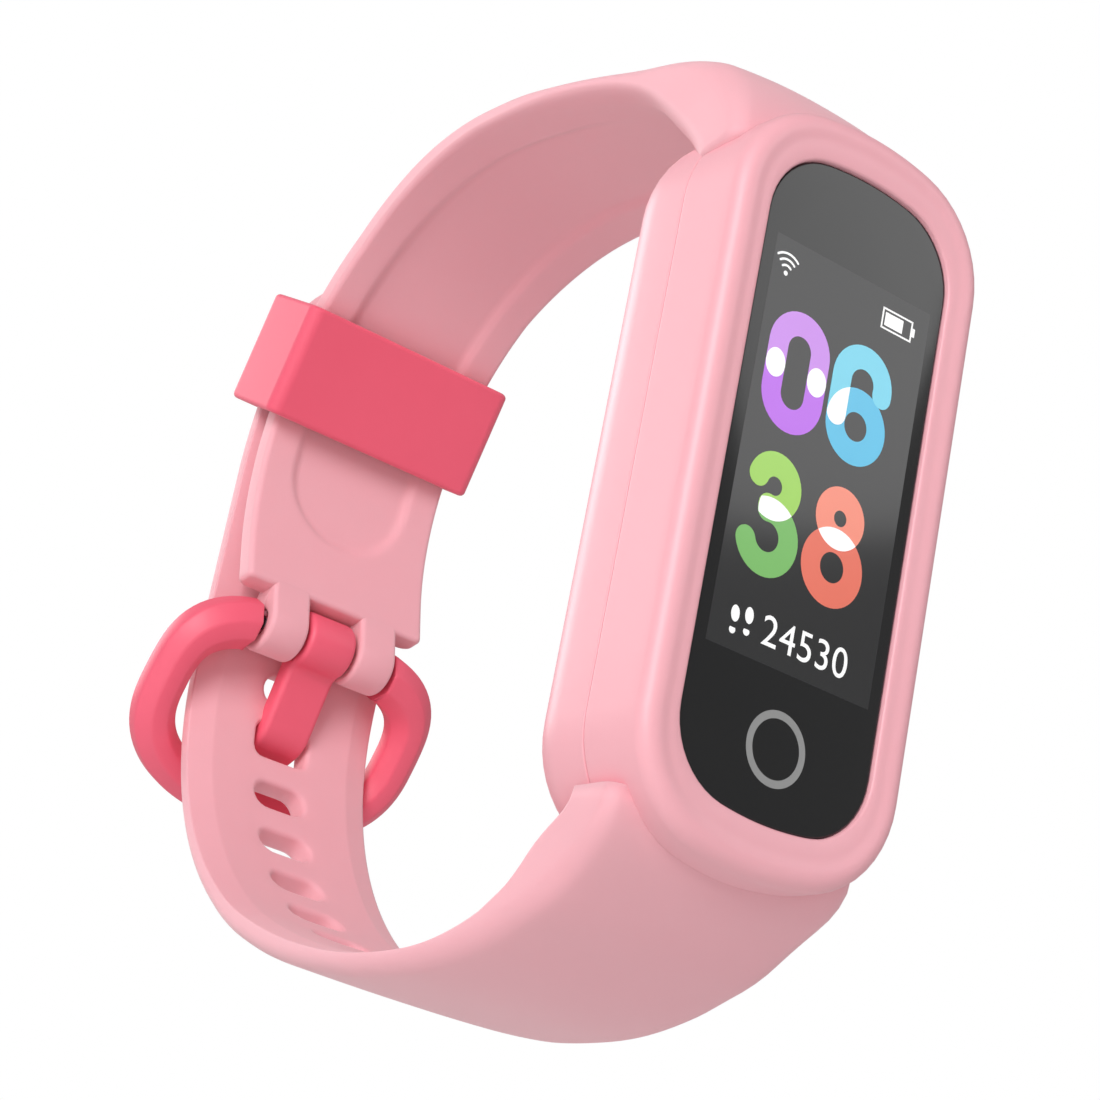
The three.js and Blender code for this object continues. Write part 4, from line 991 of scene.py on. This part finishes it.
def make_lower_strap():
    """Lower strap: from the pod to a round tip, with a row of slots and the tongue's wider one."""
    course = lower_course()
    lean = math.radians(TONGUE_LEAN)
    below = HEEL[1] - (BAR[1] - TONGUE_ELBOW * math.cos(lean) + TONGUE_INNER * math.sin(lean))
    angle = -math.asin(below / HEEL_RADIUS)
    level = course.nearest(*arc(HEEL, HEEL_RADIUS, math.degrees(angle), 0, 1)[0])
    first = level - HOLE_PITCH * (TONGUE_HOLE + 0.5)
    last = first + HOLE_PITCH * HOLE_COUNT
    rows = [first * k / 48 for k in range(48)]
    holes = []
    for h in range(HOLE_COUNT):
        at = first + HOLE_PITCH * (h + 0.5)
        if h == TONGUE_HOLE:
            holes.append((at + 0.2, len(rows), 1.85, 1.1, 0.6))
        else:
            holes.append((at, len(rows), 1.75, 0.85, 0.85))
        rows += [first + HOLE_PITCH * (h + k / HOLE_ROWS) for k in range(HOLE_ROWS)]
    tip_from = course.length - TIP_ROUND
    rows += [last + (tip_from - last) * k / 10 for k in range(10)]
    rows += [tip_from + TIP_ROUND * math.sin(math.pi / 2 * k / 14) for k in range(14)]
    rows.append(course.length - 0.01)

    def narrow(s):
        u = max(0.0, (s - tip_from) / TIP_ROUND)
        close = smooth_step(s, course.length - 0.8, course.length)
        return max(math.sqrt(max(1 - u * u, 0)), 0.04), 1 - 0.6 * close

    crown = ((0, 0.3), (3.5, 0.6), (9, 0.5), (20, 0.25), (30, 0))
    edge = ((0, 0.8, 0.8), (4, 1.1, 1.0), (9, 1.2, 0.9), (24, 1.0, 0.8))
    inner_edge = ((0, 0.5, 0.5, 1), (4, 0.5, 0.4, 1), (10, 1.5, 0.36, 0),
                  (tip_from - 3, 1.6, 0.38, 0), (tip_from, 0.4, 0.3, 0.5))
    columns = [-3.0 + 0.6 * i for i in range(11)]
    bm = loft_strap(course, rows, columns, crown, edge, inner_edge, 0.4, narrow, holes)
    finish_mesh("lower_strap_moulding", bm, STRAP_SILICONE, "tracker", "strap", "lower_strap")


def make_upper_strap():
    """Upper strap: from the pod to a soft end over the bar, its inner face recessed for the tail."""
    course = upper_course()
    cut_z = BAR[1] + KNUCKLE_RADIUS + 0.5
    end = min(i for i in range(len(course.pairs) // 2, len(course.pairs)) if course.pairs[i][0][1] < cut_z)
    end_at = course.at[end]
    end_round = 0.3
    soft_from, fine_from = end_at - end_round, end_at * 0.55
    recess_centre = course.nearest(CLASP_RADIUS * math.cos(math.radians(-11.5)), 3.9) - 4.2
    rows = [fine_from * k / 70 for k in range(70)]
    rows += [fine_from + (soft_from - fine_from) * k / 105 for k in range(105)]
    rows += [soft_from + end_round * math.sin(math.radians(a)) for a in (0, 20, 40, 60, 75, 88)]
    columns = [-4.8 + 0.24 * i for i in range(41)]
    crown = ((0, 0.4), (3.5, 0.8), (9, 0.7), (22, 0.3), (32, 0))
    edge = ((0, 0.9, 0.9), (4, 1.4, 1.2), (9, 1.4, 1.0), (14, 1.1, 0.8), (24, 0.8, 0.6))
    inner_edge = ((0, 1.6, 1.5, 1), (4, 2.2, 1.3, 1), (10, 1.8, 0.7, 1), (24, 0.6, 0.35, 1),
                  (34, 0.35, 0.3, 1))

    def dip(x, s):
        away = abs(x) if s < recess_centre else math.hypot(x, s - recess_centre)
        return 0.32 * (1 - smooth_step(away, 3.85, 4.45)) * smooth_step(s, 12, 22)

    def narrow(s):
        gone = end_round - math.sqrt(max(end_round ** 2 - max(0.0, s - soft_from) ** 2, 0))
        return 1 - gone / CLASP_HALF, 1 - 2 * gone / STRAP_THICKNESS

    bm = loft_strap(course, rows, columns, crown, edge, inner_edge, 0.25, narrow, dip=dip)
    finish_mesh("upper_strap_moulding", bm, STRAP_SILICONE, "tracker", "strap", "upper_strap")
    bm = bmesh.new()
    for side in (-1, 1):
        add_knuckle(bm, side, course, end)
    piece = finish_mesh("strap_knuckles", bm, STRAP_SILICONE, "tracker", "strap", "upper_strap")
    soft_edges(piece, 0.3, 4, 50)


def extruded(bm, outline, x0, x1):
    """A side outline in (y, z) drawn across the band, bored for the bar."""
    rims, bores = [], []
    for x in (x0, x1):
        rims.append([bm.verts.new((x, y, z)) for y, z in outline])
        bores.append([bm.verts.new((x, y, z)) for y, z in arc(BAR, BAR_BORE, 0, 360, 32)[:-1]])
        fill_between(bm, [rims[-1], bores[-1]])
    bridge(bm, *rims)
    bridge(bm, *bores)


def add_knuckle(bm, side, course, end):
    """One knuckle: wraps the bar and runs up into the strap's end, flush with its inner face."""
    s = course.at[end - 4]
    inner, outer = course.point(s, STRAP_THICKNESS - 0.01), course.point(s, 0.2)
    foot = course.pairs[-1][0]
    face = math.degrees(math.atan2(foot[1] - BAR[1], foot[0] - BAR[0]))
    outline = [inner] + arc(BAR, KNUCKLE_RADIUS - 0.03, face, face + 180, 40) + [outer]
    extruded(bm, outline, *sorted((side * KNUCKLE_FROM, side * KNUCKLE_TO)))


# ---------------------------------------------------------------- the buckle and the keeper

TONGUE_HALF = 1.65
TONGUE_THICKNESS = 1.4
HOOK_ANGLE = 66
HOOK_LENGTH = 4.3
HOOK_TIP = 0.55
RING_HALF_WIDTH = 8.45
RING_HALF_DROP = 5.45
RING_HALF_SECTION = 1.3
RING_CHAMFER = 0.8
ARM_INSIDE = 4.85
TIP_BORE_END = 7.0
KEEPER_ANGLE = 22
KEEPER_HEIGHT = 7.0
KEEPER_WALL = 0.85
KEEPER_GAP = 0.3


def leaning(lean, down, off):
    """A point down a line that leans out from the bar, and off that line."""
    a = math.radians(lean)
    return BAR[0] + down * math.sin(a) + off * math.cos(a), BAR[1] - down * math.cos(a) + off * math.sin(a)


def make_tongue():
    """Tongue: a boss round the bar, a flat blade, a rounded elbow and a hooked tip."""
    boss, crease_round, half_bend = KNUCKLE_RADIUS - 0.05, 0.7, 1.008
    off = TONGUE_INNER - crease_round
    crease = leaning(TONGUE_LEAN, math.sqrt((boss + crease_round) ** 2 - off ** 2), off)
    to_bar = math.degrees(math.atan2(BAR[1] - crease[1], BAR[0] - crease[0]))
    outline = arc(BAR, boss, to_bar - 72, to_bar + 180, 50)
    outline += arc(crease, crease_round, to_bar, TONGUE_LEAN, 8)
    hook = math.radians(HOOK_ANGLE)
    run = (math.sin(hook), -math.cos(hook))
    elbow = leaning(TONGUE_LEAN, TONGUE_ELBOW, TONGUE_INNER)
    before = leaning(TONGUE_LEAN, TONGUE_ELBOW - half_bend, TONGUE_INNER)
    after = (elbow[0] + run[0] * half_bend, elbow[1] + run[1] * half_bend)
    for t in [k / 8 for k in range(9)]:
        outline.append(between(between(before, elbow, t), between(elbow, after, t), t))
    tip = (elbow[0] + run[0] * HOOK_LENGTH - run[1] * HOOK_TIP,
           elbow[1] + run[1] * HOOK_LENGTH + run[0] * HOOK_TIP)
    outline += arc(tip, HOOK_TIP, HOOK_ANGLE - 180, HOOK_ANGLE, 10)
    outer = TONGUE_INNER + TONGUE_THICKNESS
    short = TONGUE_THICKNESS * math.tan(math.radians(HOOK_ANGLE - TONGUE_LEAN) / 2)
    outline += [leaning(TONGUE_LEAN, TONGUE_ELBOW - short, outer), leaning(TONGUE_LEAN, 1.4, outer)]
    bm = bmesh.new()
    extruded(bm, outline, -TONGUE_HALF, TONGUE_HALF)
    piece = finish_mesh("tongue_moulding", bm, BUCKLE_NYLON, "tongue", "buckle", "buckle_tongue")
    soft_edges(piece, 0.38, 4, 50)


def ring_centre_line():
    """The ring's centre line in its own plane: along one arm, round the bottom and up the other."""
    points = []
    for k in range(721):
        t = math.radians(90 + k / 2)
        c, s = math.cos(t), math.sin(t)
        power = 2 / (3.3 if s > 0 else 2.45)
        points.append((RING_HALF_WIDTH * math.copysign(abs(c) ** power, c),
                       RING_HALF_DROP * (math.copysign(abs(s) ** power, s) - 1)))
    return even([(x, v) for x, v in points if abs(x) >= ARM_INSIDE or v <= -RING_HALF_DROP], 110)


def make_ring():
    """Ring: a chamfered section swept round, fuller in the arm ends that hold the bar's tips."""
    line = ring_centre_line()
    last = len(line) - 1
    half, flat = RING_HALF_SECTION, RING_HALF_SECTION - RING_CHAMFER
    corners = [(half, flat), (flat, half), (-flat, half), (-half, flat)]
    section = corners + [(-u, -n) for u, n in corners]
    bm = bmesh.new()
    rows = []
    for i, (x, v) in enumerate(line):
        p, q = line[max(i - 1, 0)], line[min(i + 1, last)]
        d = math.dist(p, q)
        out_x, out_v = (q[1] - p[1]) / d, -(q[0] - p[0]) / d
        if i in (0, last):
            out_x, out_v = 0.0, math.copysign(1.0, out_v)
        run = math.dist(line[0], line[1]) * min(i, last - i)
        full = 1.16 - 0.16 * smooth_step(run, 1.5, 6)
        row = []
        for u, n in section:
            y, z = leaning(RING_LEAN, -(v + out_v * u * full), -n * full)
            row.append(bm.verts.new((x + out_x * u * full, y, z)))
        rows.append(row)
    for first, second in zip(rows, rows[1:]):
        bridge(bm, first, second)
    for side, row in ((-1, rows[0]), (1, rows[-1])):
        loops = [[bm.verts.new((x, y, z)) for y, z in arc(BAR, TIP_BORE, 0, 360, 32)[:-1]]
                 for x in (row[0].co.x, side * TIP_BORE_END)]
        fill_between(bm, [row, loops[0]])
        bridge(bm, *loops)
        bm.faces.new(loops[1])
    piece = finish_mesh("ring_moulding", bm, BUCKLE_NYLON, "ring", "buckle", "buckle_ring")
    soft_edges(piece, 0.14, 2, 28)


def make_keeper():
    """Keeper: a flat-sided loop round both straps, with softly rounded edges."""
    lean = math.radians(KEEPER_ANGLE)
    half = KEEPER_HEIGHT / 2
    sag = CLASP_RADIUS * (1 - math.cos(half / CLASP_RADIUS))
    near, far = CLASP_RADIUS - sag - KEEPER_GAP, TAIL_RADIUS + STRAP_THICKNESS + KEEPER_GAP
    outside, inside = (KEEPER_WALL, 0.8), (0, 0.35)

    def loop(grow, radius, rise):
        in_x, low, high = CLASP_HALF + KEEPER_GAP + grow - radius, near - grow + radius, far + grow - radius
        corners = ((in_x, low, -90), (in_x, high, 0), (-in_x, high, 90), (-in_x, low, 180))
        return [(x, CLASP[0] + r * math.cos(lean) - rise * math.sin(lean),
                 CLASP[1] + r * math.sin(lean) + rise * math.cos(lean))
                for cx, cr, start in corners for x, r in arc((cx, cr), radius, start, start + 90, 6)]

    bm = bmesh.new()
    loops = [loop(*outside, -half), loop(*outside, half), loop(*inside, half), loop(*inside, -half)]
    loops_to_mesh(bm, loops, closed_profile=True)
    piece = finish_mesh("keeper_loop_moulding", bm, KEEPER_SILICONE, "keeper_loop", "keeper", "keeper")
    soft_edges(piece, 0.3, 4, 50)


# ---------------------------------------------------------------- parts kept from the frame

KEPT = {
    "glass_adhesive": SEAL_RUBBER, "case_seal": SEAL_RUBBER,
    "display_panel": BLACK_MOULDED, "touch_pad": GOLD_PLATE, "carrier_plate": BLACK_MOULDED,
    "processor_chip": BLACK_MOULDED, "motion_sensor_chip": BLACK_MOULDED,
    "main_board": BOARD_LAMINATE, "sensor_board": BOARD_LAMINATE, "battery": POUCH_FOIL,
    "motor_can": STEEL_TURNED, "motor_weight": STEEL_TURNED, "bar_tube": STEEL_TURNED,
    "bar_tip_left": STEEL_TURNED, "bar_tip_right": STEEL_TURNED, "bar_spring": STEEL_TURNED,
}


def finish_kept_parts():
    for name, material in KEPT.items():
        for place in NODES[name].material_slots:
            place.material = material


FLOOR_Z = -95
FLOOR_HALF = 900
# each soft light's place, size across and power
SOFT_LIGHTS = {
    "key_softbox": ((-0.45, -0.33, 0.18), 0.32, 2.2), "rim_softbox": ((-0.14, 0.55, 0.24), 0.28, 1.1),
    "glass_softbox": ((0.42, -0.55, 0.42), 0.34, 0.5), "low_fill": ((-0.30, -0.10, -0.42), 0.4, 0.3),
}


def make_studio():
    """A white room for the camera, a softer white for the fill, and four soft lights."""
    bpy.context.scene.view_settings.view_transform = "Standard"
    world = bpy.data.worlds.new("studio_white")
    bpy.context.scene.world = world
    world.use_nodes = True
    tree = world.node_tree
    tree.nodes.clear()
    seen = add_node(tree, "ShaderNodeLightPath")
    bright = add_node(tree, "ShaderNodeBackground", {"Color": linear("#FFFFFF"), "Strength": 1.0})
    fill = add_node(tree, "ShaderNodeBackground", {"Color": linear("#FFFFFF"), "Strength": 0.385})
    mixed = add_node(tree, "ShaderNodeMixShader", {
        0: seen.outputs["Is Camera Ray"], 1: fill.outputs["Background"], 2: bright.outputs["Background"]})
    add_node(tree, "ShaderNodeOutputWorld", {"Surface": mixed.outputs["Shader"]})
    for name, (at, size, power) in SOFT_LIGHTS.items():
        soft_light(name, at, size, power)


def make_floor():
    """A plain sheet of pale card under everything."""
    bm = bmesh.new()
    bm.faces.new([bm.verts.new((sx * FLOOR_HALF, sy * FLOOR_HALF, FLOOR_Z))
                  for sx, sy in ((-1, -1), (1, -1), (1, 1), (-1, 1))])
    bmesh.ops.subdivide_edges(bm, edges=bm.edges, cuts=6, use_grid_fill=True)
    bmesh.ops.scale(bm, vec=(MM, MM, MM), verts=bm.verts)
    mesh = bpy.data.meshes.new("studio_floor")
    bm.to_mesh(mesh)
    bm.free()
    floor = bpy.data.objects.new("studio_floor", mesh)
    mesh.materials.append(moulded("paper_sweep", "#F4F4F3", "#F1F1F0", 0.8, 60, 1.5, 0.2))
    bpy.context.scene.collection.objects.link(floor)
    floor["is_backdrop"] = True


make_camera()
make_studio()
make_floor()
make_bezel()
make_rear_tub()
make_glass()
make_back_fittings()
make_picture()
make_lower_strap()
make_upper_strap()
make_tongue()
make_ring()
make_keeper()
finish_kept_parts()
bpy.context.view_layer.update()


def plain(value):
    return [plain(v) for v in value] if hasattr(value, "__len__") else float(value)


{"cad": plain(cad_box), "visual": plain(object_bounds())}
